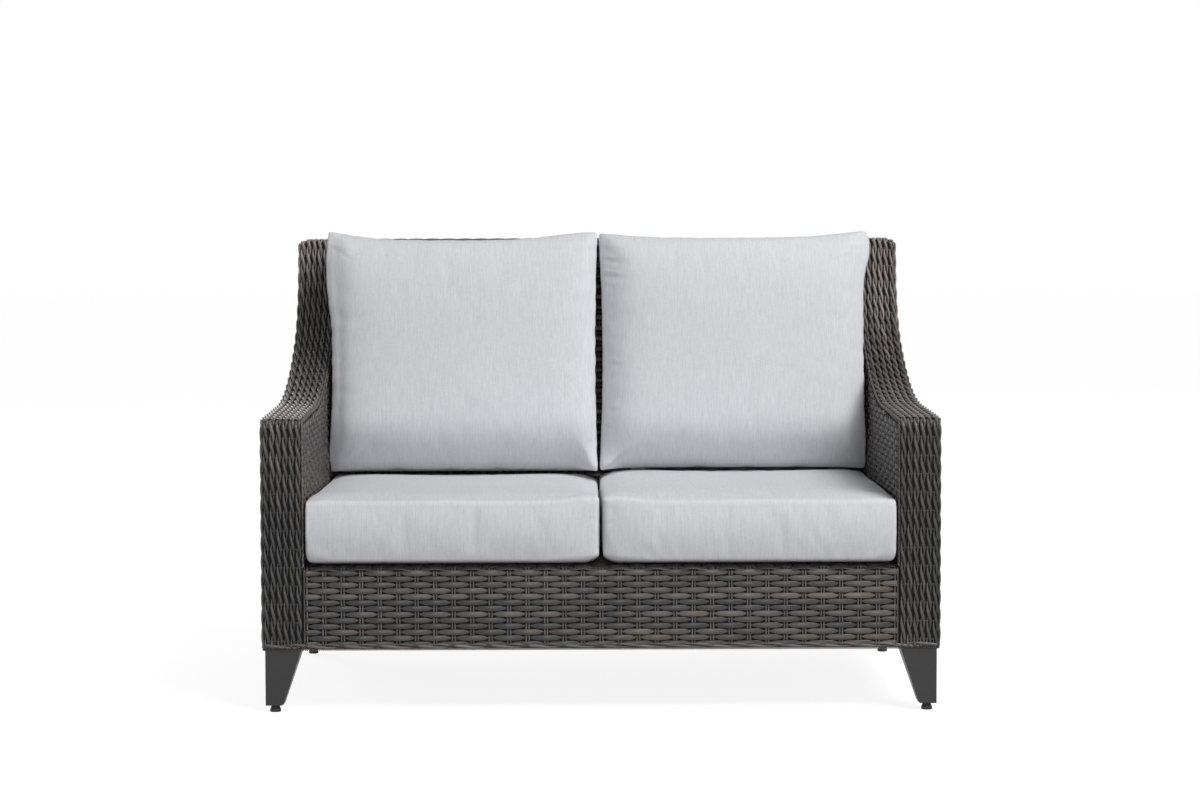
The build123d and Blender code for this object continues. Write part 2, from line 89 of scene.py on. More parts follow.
# Weave: canes, the flat leaves that go over and under them, and twined ropes
stake_pitch = 38 * MM
row_pitch = 12.25 * MM
cane_radius = 1.8 * MM
cane_spread = 2.8 * MM
cane_lift = 0.4 * MM
cane_step = 14 * MM
cane_sides = 6
leaf_half_height = 6.3 * MM
leaf_half_length = 31.5 * MM
leaf_narrow = 1.7 * MM
leaf_thickness = 1.15 * MM
leaf_depth = 2.45 * MM
rope_pitch = 13.3 * MM
rope_count = 6
rope_sway = 3.5 * MM
rope_depth = 1.7 * MM
rope_half_width = 2.55 * MM
rope_swell = 1.2 * MM
rope_half_depth = 2.3 * MM
rope_step = stake_pitch / 8
strand_sides = 8
grain_spread = 3 * MM
longest_grain_shift = 50

# Where the woven pieces and their linings start and end
wing_corner = 28 * MM
wing_corner_drop = 0.45 * wing_corner
corner_radius = 9 * MM
apron_roll = 6.3 * MM
band_inset = 15 * MM
wrap_top = wing_top - 14 * MM
back_margin = 22 * MM
deck_margin = 8 * MM
lining_depth = 3.3 * MM
lining_thickness = 0.3 * MM
edge_rope_inset = 6.5 * MM
edge_rope_phase = 0.4
band_start = 4 * MM
band_phase_step = 0.14
band_phase_spread = 0.12
top_phase_step = 0.2
outline_samples = 900
side_depth_height = 400 * MM
stitch_pitch = 11 * MM
stitch_slimness = 0.62
band_cane_half = 40 * MM
band_cane_radius = cane_radius * 0.6
band_cane_tone = 0.3
border_rope_height = 8.4 * MM
border_rope_slimness = 0.9
coil_pitch = 4.2 * MM
coil_height = 1.2 * MM
coil_radius = 1.7 * MM
coil_thickness = 0.95 * MM
coil_tone = 0.55

# Tones of the strands, from 0 for charcoal to 1 for pale taupe, with how often each is used
row_tone_choices = [0.45, 0.6, 0.7, 0.8, 0.9]
row_tone_odds = [0.15, 0.2, 0.25, 0.25, 0.15]
row_tone_spread = 0.09
row_drift_knots = 17
dark_patch = -0.42
dark_patch_odds = [0.8, 0.2]
rope_tone_choices = [0.45, 0.6, 0.7, 0.8]
rope_tone_odds = [0.2, 0.3, 0.3, 0.2]
rope_tone_spread = 0.13
rope_drift_knots = 16
cane_tones = (0.5, 0.85)
tone_knots = 48

draws = np.random.default_rng(11)


class Route:
    """A line in a plane, made of straights and bends, that is read by its length."""

    def __init__(self, start, heading):
        self.runs = []
        self.point = np.array(start, float)
        self.heading = heading
        self.length = 0.0

    def add(self, length, curvature):
        """A run that goes on from the last one."""
        self.runs.append((self.length, self.point, self.heading, curvature))
        self.length += length
        points, headings = self.at(np.array([self.length]))
        self.point, self.heading = points[0], headings[0]
        return self

    def straight(self, length):
        """A straight run."""
        return self.add(length, 0.0)

    def bend(self, radius, turn):
        """An arc that turns left for a positive angle, in radians."""
        return self.add(radius * abs(turn), (1 if turn > 0 else -1) / radius)

    def at(self, lengths):
        """Points and headings at the given lengths."""
        lengths = np.asarray(lengths, float)
        starts = np.array([run[0] for run in self.runs])
        index = np.clip(np.searchsorted(starts, lengths, side="right") - 1, 0, None)
        points = np.empty(lengths.shape + (2,))
        headings = np.empty(lengths.shape)
        for number, (start, point, heading, curvature) in enumerate(self.runs):
            here = index == number
            along = lengths[here] - start
            turned = heading + curvature * along
            if curvature:
                step_u = (np.sin(turned) - sin(heading)) / curvature
                step_v = (cos(heading) - np.cos(turned)) / curvature
            else:
                step_u, step_v = along * cos(heading), along * sin(heading)
            points[here, 0] = point[0] + step_u
            points[here, 1] = point[1] + step_v
            headings[here] = turned
        return points, headings


def rear_line_y(z):
    """Depth of the outer face of the back at a height."""
    lean = (rear_top_y - rear_base_y) / (wing_top - edge_radius - weave_bottom)
    return rear_base_y + (z - weave_bottom) * lean


wing_heading = pi / 2 - back_recline
wing_end = np.array([rear_top_y - back_top_depth, wing_top])
wing_start = wing_end - wing_straight * np.array([cos(wing_heading), sin(wing_heading)])


def wing_line_y(z):
    """Depth of the reclined front of the wings and back at a height."""
    return wing_end[0] + (z - wing_top) * tan(back_recline)


def arm_route():
    """Outer line of an arm: up the front, over the arm, up to the wing, over its top and down the rear."""
    over = wing_start[0] - front_y + arm_sweep_radius * sin(arm_slope) - wing_sweep_radius * sin(wing_heading)
    drop = arm_front_height - wing_start[1]
    drop += arm_sweep_radius * cos(arm_slope) - wing_sweep_radius * cos(wing_heading)
    step = arm_sweep_radius - wing_sweep_radius
    sweep_turn = np.arccos((over * sin(arm_slope) + drop * cos(arm_slope)) / step)
    level = over * cos(arm_slope) - drop * sin(arm_slope) - step * sin(sweep_turn)
    rear_heading = -atan2(wing_top - edge_radius - weave_bottom, rear_base_y - rear_top_y)
    first_turn = pi / 2 - arm_slope
    first_cut = arm_front_radius * tan(first_turn / 2)
    wing_cut = edge_radius * tan(wing_heading / 2)
    rear_cut = edge_radius * tan(-rear_heading / 2)
    top_run = rear_line_y(wing_top) - wing_end[0] - wing_cut - rear_cut
    route = Route((front_y, weave_bottom), pi / 2)
    route.straight(arm_front_height - weave_bottom - first_cut).bend(arm_front_radius, -first_turn)
    route.straight(level - first_cut).bend(arm_sweep_radius, sweep_turn)
    route.bend(wing_sweep_radius, wing_heading - arm_slope - sweep_turn)
    route.straight(wing_straight - wing_cut).bend(edge_radius, -wing_heading)
    route.straight(top_run).bend(edge_radius, rear_heading)
    route.straight((wing_top - weave_bottom) / sin(-rear_heading) - rear_cut)
    return route


arm_line = arm_route()


def arm_surface(lengths, x, depth=mid_skin):
    """Points and normals of an arm's edge band, that far inside its outer line."""
    points, headings = arm_line.at(lengths)
    normals = np.stack([np.zeros_like(headings), -np.sin(headings), np.cos(headings)], -1)
    xs = np.broadcast_to(x, headings.shape)
    outward = np.clip((np.abs(xs) - half_width + wing_corner) / wing_corner, 0, 1)
    upward = np.clip((points[..., 1] - wing_top + wing_corner) / wing_corner, 0, 1)
    heights = points[..., 1] - wing_corner_drop * outward ** 2 * upward ** 2
    places = np.stack([xs, points[..., 0], heights], -1)
    return places - depth * normals, normals


def unit(vectors):
    """Vectors scaled to length one."""
    return vectors / np.maximum(np.linalg.norm(vectors, axis=-1, keepdims=True), 1e-12)


def mesh_object(name, places, faces, smooth=True):
    """A mesh object in the scene."""
    mesh = bpy.data.meshes.new(name)
    mesh.from_pydata(places.tolist(), [], faces)
    if smooth:
        mesh.polygons.foreach_set("use_smooth", np.ones(len(mesh.polygons), bool))
    obj = bpy.data.objects.new(name, mesh)
    bpy.context.scene.collection.objects.link(obj)
    return obj


def give(obj, material):
    """Put one material on an object."""
    obj.data.materials.clear()
    obj.data.materials.append(material)


class Strands:
    """The strands of one piece: tubes of oval section, gathered and made into one mesh."""

    def __init__(self):
        self.points = []
        self.faces = []
        self.tones = []
        self.grains = []
        self.count = 0

    def add(self, centres, normals, half_width, half_depth, tone, sides=strand_sides):
        """Strands by samples by three, with the flat of each section facing along the normals."""
        centres = np.asarray(centres, float)
        if centres.ndim == 2:
            centres, normals = centres[None], np.asarray(normals)[None]
        strands, samples = centres.shape[:2]
        tangents = unit(np.gradient(centres, axis=1))
        across = unit(np.cross(tangents, normals))
        outward = np.cross(across, tangents)
        angles = np.linspace(0, 2 * pi, sides, endpoint=False)
        widths = np.broadcast_to(half_width, (strands, samples))[..., None, None]
        depths = np.broadcast_to(half_depth, (strands, samples))[..., None, None]
        rings = centres[:, :, None] + widths * np.cos(angles)[:, None] * across[:, :, None]
        rings = rings + depths * np.sin(angles)[:, None] * outward[:, :, None]
        self.points.append(rings.reshape(-1, 3))
        index = np.arange(strands * samples * sides).reshape(strands, samples, sides) + self.count
        near, far = index[:, :-1], index[:, 1:]
        around = [near, np.roll(near, -1, 2), np.roll(far, -1, 2), far]
        self.faces.extend(np.stack(around, -1).reshape(-1, 4).tolist())
        self.faces.extend(index[:, 0, ::-1].tolist())
        self.faces.extend(index[:, -1].tolist())
        tones = np.broadcast_to(tone, (strands, samples))
        self.tones.append(np.repeat(tones.reshape(-1), sides))
        steps = np.linalg.norm(np.diff(centres, axis=1), axis=2)
        along = np.concatenate([np.zeros((strands, 1)), np.cumsum(steps, axis=1)], axis=1)
        along = along + draws.uniform(0, longest_grain_shift, (strands, 1))
        spread = np.cos(angles) * grain_spread
        grain = np.zeros((strands, samples, sides, 3))
        grain[..., 0] = along[..., None]
        grain[..., 1] = spread + draws.uniform(0, longest_grain_shift, (strands, 1, 1))
        self.grains.append(grain.reshape(-1, 3))
        self.count += strands * samples * sides

    def piece(self, name, material, body="root", slot="weave"):
        """The gathered strands as one smooth mesh object, with the tone and grain that its material reads."""
        obj = mesh_object(name, np.concatenate(self.points), self.faces)
        attributes = obj.data.attributes
        attributes.new("tone", "FLOAT", "POINT").data.foreach_set("value", np.concatenate(self.tones))
        grain = attributes.new("grain", "FLOAT_VECTOR", "POINT")
        grain.data.foreach_set("vector", np.concatenate(self.grains).ravel())
        give(obj, material)
        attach(obj, body)
        return obj


def row_tones(count):
    """The tones of each row at even steps: one of a few for the row, with a drift and dark patches along it."""
    base = draws.choice(row_tone_choices, (count, 1), p=row_tone_odds)
    dark = draws.choice([0.0, dark_patch], (count, row_drift_knots), p=dark_patch_odds)
    knots = dark + draws.normal(0, row_tone_spread, (count, row_drift_knots))
    places = np.linspace(0, row_drift_knots - 1, tone_knots)
    drift = np.array([np.interp(places, np.arange(row_drift_knots), row) for row in knots])
    return np.clip(base + drift, 0, 1)


def leaf_row(strands, surface, level, start, end, flip, tone, per_pitch, sides, leaf):
    """One flat strand that goes over one stake and under the next, from start to end of a row."""
    half_length, bulge = leaf
    samples = max(int(round((end - start) / stake_pitch * per_pitch)), 3) + 1
    along = np.linspace(start, end, samples)
    centres, normals = surface(along, np.full(samples, level))
    shifted = along / stake_pitch + (1 if flip else 0)
    wave = np.cos(pi * shifted)
    from_middle = np.abs((shifted + 1) % 2 - 1) * stake_pitch / half_length
    lens = np.maximum(1 - from_middle ** 6, 0) ** 0.6
    half_width = leaf_narrow + (leaf_half_height - leaf_narrow) * lens
    centres = centres + (bulge * wave)[:, None] * normals
    tones = np.interp(np.linspace(0, 1, samples), np.linspace(0, 1, len(tone)), tone)
    strands.add(centres, normals, half_width, leaf_thickness, tones, sides)


def cane_pair(strands, surface, along, start, end):
    """Two thin canes side by side, which the rows weave around."""
    samples = max(int((end - start) / cane_step), 2) + 1
    levels = np.linspace(start, end, samples)
    for shift in (-cane_spread, cane_spread):
        centres, normals = surface(np.full(samples, along + shift), levels)
        lifted = centres + cane_lift * normals
        strands.add(lifted, normals, cane_radius, cane_radius, draws.uniform(*cane_tones), cane_sides)


def twined_rope(strands, centres, normals, lengths, phase, handed, shade=0.0, pitch=stake_pitch, slim=1.0):
    """Two strands that twist about each other along a line, with a half turn in each pitch."""
    tangents = unit(np.gradient(centres, axis=0))
    across = unit(np.cross(tangents, normals))
    knots = np.linspace(0, 1, rope_drift_knots)
    for turn in (0, pi):
        angle = pi * lengths / pitch + phase + turn
        sway = handed * slim * rope_sway * np.sin(angle)
        rise = slim * rope_depth * np.cos(angle)
        line = centres + sway[:, None] * across + rise[:, None] * normals
        base = draws.choice(rope_tone_choices, p=rope_tone_odds)
        drift = base + draws.normal(0, rope_tone_spread, rope_drift_knots)
        tones = np.interp(np.linspace(0, 1, len(lengths)), knots, drift) + shade
        half_width = slim * (rope_half_width + rope_swell * np.cos(angle))
        strands.add(line, normals, half_width, slim * rope_half_depth, np.clip(tones, 0, 1))


def edge_line(lengths, x, facing):
    """Points along an edge of an arm's band, which face sideways."""
    centres, _ = arm_surface(lengths, x, edge_rope_inset)
    return centres, np.broadcast_to(np.array([facing, 0.0, 0.0]), centres.shape)


def edge_band(side, tone_and_light_knots):
    """The twined band over one arm: up the post, over the arm and the wing, and down to the rear."""
    strands = Strands()
    centre_x = side * (arm_inner_x + half_width) / 2
    lengths = np.arange(band_start, band_end, rope_step)
    # Tone shift along the band from its knots, which include painted shade and painted light
    shade = np.interp(lengths, np.linspace(0, band_end, len(tone_and_light_knots)), tone_and_light_knots)
    for rope in range(rope_count):
        x = centre_x + (rope - (rope_count - 1) / 2) * rope_pitch
        centres, normals = arm_surface(lengths, x)
        phase = band_phase_step * rope + draws.normal(0, band_phase_spread)
        twined_rope(strands, centres, normals, lengths, phase, -1, shade)
    outer_edge, inner_edge = side * (half_width - mid_skin), side * (arm_inner_x + mid_skin)
    centres, normals = edge_line(lengths, outer_edge, side)
    twined_rope(strands, centres, normals, lengths, edge_rope_phase, side, shade)
    centres, _ = edge_line(lengths, inner_edge, -side)
    shown = (centres[:, 1] < wing_line_y(centres[:, 2]) - 2 * MM) & (centres[:, 2] > deck_top)
    shown |= centres[:, 2] > wing_top - 2 * edge_radius
    for first, last in stretches(shown):
        fine = np.arange(lengths[first], lengths[last], stitch_pitch / 5)
        centres, normals = edge_line(fine, inner_edge, -side)
        twined_rope(strands, centres, normals, fine, edge_rope_phase, -side, 0.0, stitch_pitch, stitch_slimness)
    xs = np.linspace(centre_x - band_cane_half, centre_x + band_cane_half, 9)
    for length in np.arange(stake_pitch / 2, band_end, stake_pitch):
        centres, normals = arm_surface(np.full(len(xs), length), xs)
        strands.add(centres, normals, band_cane_radius, band_cane_radius, band_cane_tone, cane_sides)
    return strands


def stretches(shown):
    """First and last index of each stretch that is shown."""
    turns = np.flatnonzero(np.diff(np.concatenate([[False], shown, [False]]).astype(int)))
    return [(first, last - 1) for first, last in zip(turns[::2], turns[1::2]) if last - first > 3]


# Front apron, rolled edge and seat deck as one surface: across by along the profile
apron_route = Route((front_y, weave_start), pi / 2)
apron_route.straight(deck_top - weave_start - apron_roll).bend(apron_roll, -pi / 2)
apron_route.straight(wing_line_y(deck_top) - front_y - apron_roll)


def apron_surface(across, lengths):
    """Points and normals on the mid-plane of the apron, its rolled edge and the deck."""
    points, headings = apron_route.at(lengths)
    normals = np.stack([np.zeros_like(headings), -np.sin(headings), np.cos(headings)], -1)
    places = np.stack([across, points[..., 0], points[..., 1]], -1)
    return places - mid_skin * normals, normals


def back_surface(across, heights):
    """Points and normals on the mid-plane of the back's inner skin."""
    normal = np.array([0, -cos(back_recline), sin(back_recline)])
    depth = mid_skin / cos(back_recline)
    places = np.stack([across, wing_line_y(heights) + depth, heights], -1)
    return places, np.broadcast_to(normal, places.shape)


def wrap_surface(along, heights):
    """Points and normals round both sides and the rear: along is measured from the middle of the back."""
    flat = half_width - corner_radius
    arc = corner_radius * pi / 2
    beyond = np.abs(along) - flat
    angle = np.clip(beyond / corner_radius, 0, pi / 2)
    x = np.where(beyond > 0, flat + corner_radius * np.sin(angle), np.abs(along))
    y = rear_line_y(heights) - corner_radius * (1 - np.cos(angle)) - np.maximum(beyond - arc, 0)
    sign = np.where(along < 0, -1.0, 1.0)
    normals = np.stack([sign * np.sin(angle), np.cos(angle), np.zeros_like(angle)], -1)
    places = np.stack([sign * x, y, heights], -1)
    return places - mid_skin * normals, normals


def wrap_length(y, height):
    """How far along the wrap a place on the side lies."""
    return half_width - corner_radius + corner_radius * pi / 2 + rear_line_y(height) - corner_radius - y


side_samples, side_headings = arm_line.at(np.linspace(0, arm_line.length, outline_samples))
climbing = (side_headings > 0) & (side_headings < pi / 2 - 0.01)
climbing &= side_samples[:, 1] > arm_front_height - edge_radius
climb_z, climb_y = side_samples[climbing][:, 1], side_samples[climbing][:, 0]
band_end = arm_line.length - (wing_top - weave_bottom - 2 * edge_radius)


def arm_front_y(height):
    """Depth where a level line at a height meets the arm's outline."""
    if height < arm_front_height - edge_radius:
        return front_y
    return float(np.interp(height, climb_z, climb_y))


def arm_height(y):
    """Height of the arm's outline at a depth."""
    return float(np.interp(y, climb_y, climb_z))


def lining(name, surface, levels, starts, ends, columns):
    """A thin dark lining on the inner side of a woven skin, from its levels and where each starts and ends."""
    starts, ends = np.broadcast_to(starts, levels.shape), np.broadcast_to(ends, levels.shape)
    along = np.linspace(starts, ends, columns, axis=1)
    points, normals = surface(along, np.repeat(levels[:, None], columns, 1))
    normals = np.broadcast_to(normals, points.shape)
    front = points - lining_depth * normals
    rear = front - lining_thickness * normals
    rows = len(levels)
    index = np.arange(rows * columns).reshape(rows, columns)
    near = np.stack([index[:-1, :-1], index[:-1, 1:], index[1:, 1:], index[1:, :-1]], -1).reshape(-1, 4)
    rim = np.concatenate([index[0], index[1:, -1], index[-1, -2::-1], index[-2:0:-1, 0]])
    wall = np.stack([rim, rim + rows * columns, np.roll(rim, -1) + rows * columns, np.roll(rim, -1)], -1)
    faces = np.concatenate([near, near[:, ::-1] + rows * columns, wall]).tolist()
    obj = mesh_object(name, np.concatenate([front.reshape(-1, 3), rear.reshape(-1, 3)]), faces, smooth=False)
    give(obj, lining_cloth)
    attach(obj, "root")


plain_leaf = (leaf_half_length, leaf_depth)


def woven_panel(name, surface, rows, stakes, node, per_pitch, sides, leaf=plain_leaf, shade=0.0):
    """A plain woven panel from its rows (level, start, end, number) and stakes (place, start, end)."""
    strands = Strands()
    tones = row_tones(len(rows)) + shade
    for tone, (level, start, end, number) in zip(tones, rows):
        leaf_row(strands, surface, level, start, end, number % 2 == 1, tone, per_pitch, sides, leaf)
    for place, start, end in stakes:
        cane_pair(strands, surface, place, start, end)
    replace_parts(strands.piece(name, woven), node)


def full_rows(levels, half):
    """Rows of a panel from -half to half, one at each level."""
    return [(level, -half, half, number) for number, level in enumerate(levels)]


def full_stakes(count, start, end):
    """Stakes of a panel at each pitch to both sides of its middle, from start to end."""
    return [(number * stake_pitch, start, end) for number in range(-count, count + 1)]


class Value:
    """A value in a material, on which arithmetic adds Math nodes."""

    def __init__(self, finish, socket):
        self.finish = finish
        self.socket = socket

    def math(self, operation, *others):
        """A Math node with this value as its first."""
        return self.finish.node("ShaderNodeMath", {"operation": operation}, dict(enumerate((self, *others))))

    def __add__(self, other):
        return self.math("ADD", other)

    __radd__ = __add__

    def __mul__(self, other):
        return self.math("MULTIPLY", other)

    __rmul__ = __mul__

    def __sub__(self, other):
        return self.math("SUBTRACT", other)

    def __rsub__(self, other):
        return (self * -1) + other

    def clamp(self):
        """The value kept between 0 and 1."""
        return self.math("MAXIMUM", 0.0).math("MINIMUM", 1.0)


class Finish:
    """The nodes of a material or of the world, with the shader and the output that it starts from."""

    def __init__(self, owner, shader="Principled BSDF", output="Material Output"):
        owner.use_nodes = True
        self.owner = owner
        self.tree = owner.node_tree
        self.shader = self.tree.nodes[shader]
        self.output = self.tree.nodes[output]

    def node(self, kind, settings, sockets, output=0):
        """A node of a kind: its settings are set first, then its sockets, by number or by name."""
        made = self.tree.nodes.new(kind)
        for key, setting in settings.items():
            if key == "stops":
                self.set_stops(made.color_ramp, setting)
            else:
                setattr(made, key, setting)
        for key, value in sockets.items():
            self.join(value, made.inputs[key])
        return Value(self, made.outputs[output])

    def set_stops(self, ramp, stops):
        """Stops of a colour ramp as (place, colour)."""
        while len(ramp.elements) < len(stops):
            ramp.elements.new(1.0)
        for element, (place, shade) in zip(ramp.elements, stops):
            element.position = place
            element.color = shade

    def join(self, value, socket):
        """Link a value to a socket, or set the socket's own number."""
        if isinstance(value, Value):
            self.tree.links.new(value.socket, socket)
        else:
            socket.default_value = value

    def set(self, sockets):
        """Set or link the sockets of the shader, by name."""
        for key, value in sockets.items():
            self.join(value, self.shader.inputs[key])

    def ramp(self, value, stops):
        """A colour that follows a value between 0 and 1."""
        return self.node("ShaderNodeValToRGB", {"stops": stops}, {0: value})

    def mix(self, share, first, second):
        """Two colours mixed by a share."""
        return self.node("ShaderNodeMix", {"data_type": "RGBA"}, {0: share, 6: first, 7: second}, 2)

    def attribute(self, name, output="Fac"):
        """A named attribute of the mesh."""
        return self.node("ShaderNodeAttribute", {"attribute_name": name}, {}, output)

    def place(self):
        """The place on the object."""
        return self.node("ShaderNodeTexCoord", {}, {}, "Object")

    def noise(self, vector, stretch, detail=2.0, roughness=0.6):
        """Noise between 0 and 1 over a vector that is scaled along its axes."""
        scaled = self.node("ShaderNodeVectorMath", {"operation": "MULTIPLY"}, {0: vector, 1: stretch})
        sockets = {"Vector": scaled, "Scale": 1.0, "Detail": detail, "Roughness": roughness}
        return self.node("ShaderNodeTexNoise", {}, sockets)

    def bump(self, height, strength, distance):
        """A bumped normal."""
        return self.node("ShaderNodeBump", {}, {"Strength": strength, "Distance": distance, "Height": height})

    def show_bright(self, glow):
        """Show a brighter shader where the camera, a mirror or clear glass looks."""
        kinds = ("Camera", "Glossy", "Transmission")
        rays = [self.node("ShaderNodeLightPath", {}, {}, f"Is {kind} Ray") for kind in kinds]
        looking = rays[0].math("MAXIMUM", rays[1]).math("MAXIMUM", rays[2])
        plain = Value(self, self.shader.outputs[0])
        shown = self.node("ShaderNodeMixShader", {}, {0: looking, 1: plain, 2: glow})
        self.join(shown, self.output.inputs[0])


def colour(red, green, blue):
    """A colour as the screen shows it, from 0 to 255, as the shader's linear values with alpha."""
    return (*((channel / 255) ** 2.2 for channel in (red, green, blue)), 1.0)


def weave_finish():
    """Flat resin strand: taupe, brown and charcoal, streaked along its length."""
    finish = Finish(bpy.data.materials.new("woven_resin"))
    tone = finish.attribute("tone")
    grain = finish.attribute("grain", "Vector")
    streak = finish.noise(grain, (30, 2600, 1))
    patch = finish.noise(grain, (22, 60, 1))
    mixed = tone + (streak - 0.5) * 0.55 + (patch - 0.5) * 0.35
    stops = [
        (0.0, colour(41, 40, 41)),
        (0.3, colour(59, 57, 56)),
        (0.55, colour(80, 75, 71)),
        (0.8, colour(97, 90, 85)),
        (1.0, colour(124, 116, 110)),
    ]
    finish.set({
        "Base Color": finish.ramp(mixed.clamp(), stops),
        "Roughness": 0.24 + streak * 0.2,
        "Normal": finish.bump(streak, 0.25, 0.6 * MM),
        "Specular IOR Level": 0.5,
    })
    return finish.owner


def fabric_finish():
    """Pale silver-grey canvas with fine slubs that run up the faces."""
    finish = Finish(bpy.data.materials.new("cushion_canvas"))
    place = finish.place()
    slub = finish.noise(place, (560, 28, 28))
    yarn = finish.noise(place, (1100, 110, 110), 1.0, 0.5)
    weft = finish.noise(place, (90, 620, 620))
    mixed = slub * 0.48 + yarn * 0.27 + weft * 0.25
    stops = [(0.32, colour(200, 201, 205)), (0.5, colour(214, 215, 219)), (0.68, colour(227, 227, 231))]
    finish.set({
        "Base Color": finish.ramp(mixed, stops),
        "Roughness": 0.9,
        "Normal": finish.bump(yarn + weft, 0.12, 0.5 * MM),
        "Sheen Weight": 0.15,
    })
    return finish.owner


def metal_finish(name, shade, roughness, metallic):
    """Painted or bare metal, or a plain dark stuff, with a slight grain."""
    finish = Finish(bpy.data.materials.new(name))
    place = finish.place()
    speck = finish.noise(place, (900, 900, 900))
    wear = finish.noise(place, (35, 35, 35), 3.0)
    dark = tuple(channel * 0.86 for channel in shade[:3]) + (1.0,)
    pale = tuple(min(channel * 1.18, 1.0) for channel in shade[:3]) + (1.0,)
    finish.set({
        "Base Color": finish.mix(wear, dark, pale),
        "Roughness": roughness - 0.06 + speck * 0.12,
        "Normal": finish.bump(speck, 0.08, 0.3 * MM),
        "Metallic": metallic,
    })
    return finish.owner


def zip_finish():
    """Pale ribbed zip tape, with a darker coil where the tone is high."""
    finish = Finish(bpy.data.materials.new("zip_tape_and_coil"))
    rib = finish.noise(finish.attribute("grain", "Vector"), (1400, 300, 1))
    finish.set({
        "Base Color": finish.mix(finish.attribute("tone"), colour(192, 193, 197), colour(104, 105, 109)),
        "Roughness": 0.5 + rib * 0.3,
        "Normal": finish.bump(rib, 0.2, 0.3 * MM),
    })
    return finish.owner


woven = weave_finish()
canvas = fabric_finish()
zip_cloth = zip_finish()
lining_cloth = metal_finish("dark_lining", colour(20, 19, 19), 0.85, 0.0)
steel = metal_finish("fastener_steel", colour(165, 165, 165), 0.35, 1.0)

node_finishes = {
    "cushion_fabric": canvas,
    "zip_tape": canvas,
    "cushion_filling": canvas,
    "zip_metal": steel,
    "fastener_steel": steel,
    "glide_plastic": metal_finish("black_plastic", colour(30, 30, 30), 0.5, 0.0),
    "leg_metal": metal_finish("charcoal_powder_coat", colour(44, 43, 44), 0.42, 0.35),
    "frame_metal": metal_finish("frame_aluminium", colour(70, 68, 66), 0.5, 0.6),
    "weave": woven,
}
for part in frame["record"]["subparts"]:
    give(frame["nodes"][part["node"]], node_finishes[part["material_slot"]])


# Front apron and seat deck
apron_half = arm_inner_x - 1 * MM
stake_count = int(apron_half / stake_pitch)
apron_height = deck_top - weave_start
deck_start = apron_height + 20 * MM
deck_end = apron_route.length - deck_margin
rows = full_rows(np.arange(row_pitch / 2, deck_end, row_pitch), apron_half)
apron_rows = [row for row in rows if row[0] < deck_start]
deck_rows = rows[len(apron_rows):]
apron_stakes = full_stakes(stake_count, 0.0, deck_start)
deck_stakes = full_stakes(stake_count, deck_start, deck_end)
# Painted shade: the apron's strands are darker overall, and darker still towards the left end
apron_painted_shade = np.linspace(-0.42, -0.17, tone_knots)
woven_panel(
    "front_apron_weave", apron_surface, apron_rows, apron_stakes, "front_apron",
    per_pitch=8, sides=8, shade=apron_painted_shade,
)
woven_panel("seat_deck_weave", apron_surface, deck_rows, deck_stakes, "seat_deck", per_pitch=6, sides=6)

# Inner face of the back
back_low, back_high = deck_top + 4 * MM, wing_top - back_margin
back_heights = np.arange(back_low + row_pitch / 2, back_high, row_pitch * cos(back_recline))
back_rows = full_rows(back_heights, apron_half)
back_stakes = full_stakes(stake_count, back_low, back_high)
woven_panel(
    "back_inner_weave_strands", back_surface, back_rows, back_stakes, "back_inner_weave", per_pitch=6, sides=7
)

# Rear, up to a split near each corner, from which the sides go on
wrap_heights = np.arange(weave_start + row_pitch / 2, wrap_top, row_pitch)
rear_split = half_width - 30 * MM
rear_rows = full_rows(wrap_heights, rear_split)
rear_stake_count = int(rear_split / stake_pitch)
rear_stakes = full_stakes(rear_stake_count, weave_start, wrap_top)
woven_panel(
    "back_outer_weave_strands", wrap_surface, rear_rows, rear_stakes, "back_outer_weave", per_pitch=5, sides=6
)

# Linings of these
apron_levels = np.concatenate([
    np.linspace(0, apron_height - apron_roll, 12),
    np.linspace(apron_height - apron_roll, apron_height + 4 * MM, 8)[1:],
    np.linspace(apron_height + 10 * MM, deck_end, 30),
])
lining_half = arm_inner_x + 4.5 * MM
lining_heights = np.linspace(weave_start, wrap_top, 90)
back_levels = np.linspace(back_low, back_high, 40)
lining("apron_and_deck_lining", apron_surface, apron_levels, -lining_half, lining_half, columns=40)
lining("back_inner_lining", back_surface, back_levels, -apron_half, apron_half, columns=40)
lining("rear_lining", wrap_surface, lining_heights, -rear_split, rear_split, columns=60)


# Arms
inner_leaf = (19.5 * MM, 2.2 * MM)
# Painted shade: the strands on the inner faces of the arms are darker, as they lie in shadow
inner_painted_shade = -0.5
inner_stake_reach = 12
# Tone shifts along each arm's band. Part is darker stretches of charcoal strands, part is painted shade on the
# posts and painted light at the top of the left wing
band_tones_and_painted_light = {
    "left": (-0.3, -0.42, -0.54, -0.12, 0.0, 0.1, 0.15, 0.1, -0.1, -0.3, -0.1, 0.5, 0.6),
    "right": (-0.26, -0.4, -0.48, -0.34, 0.0, 0.05, 0.0, -0.1, -0.3, -0.15, 0.1, 0.25, 0.3),
}


def side_reach(height):
    """How far along the wrap a side row runs before it tucks under the edge band."""
    y = arm_front_y(height + band_inset) if height > arm_front_height - 2 * band_inset else front_y
    return wrap_length(y + band_inset, height)


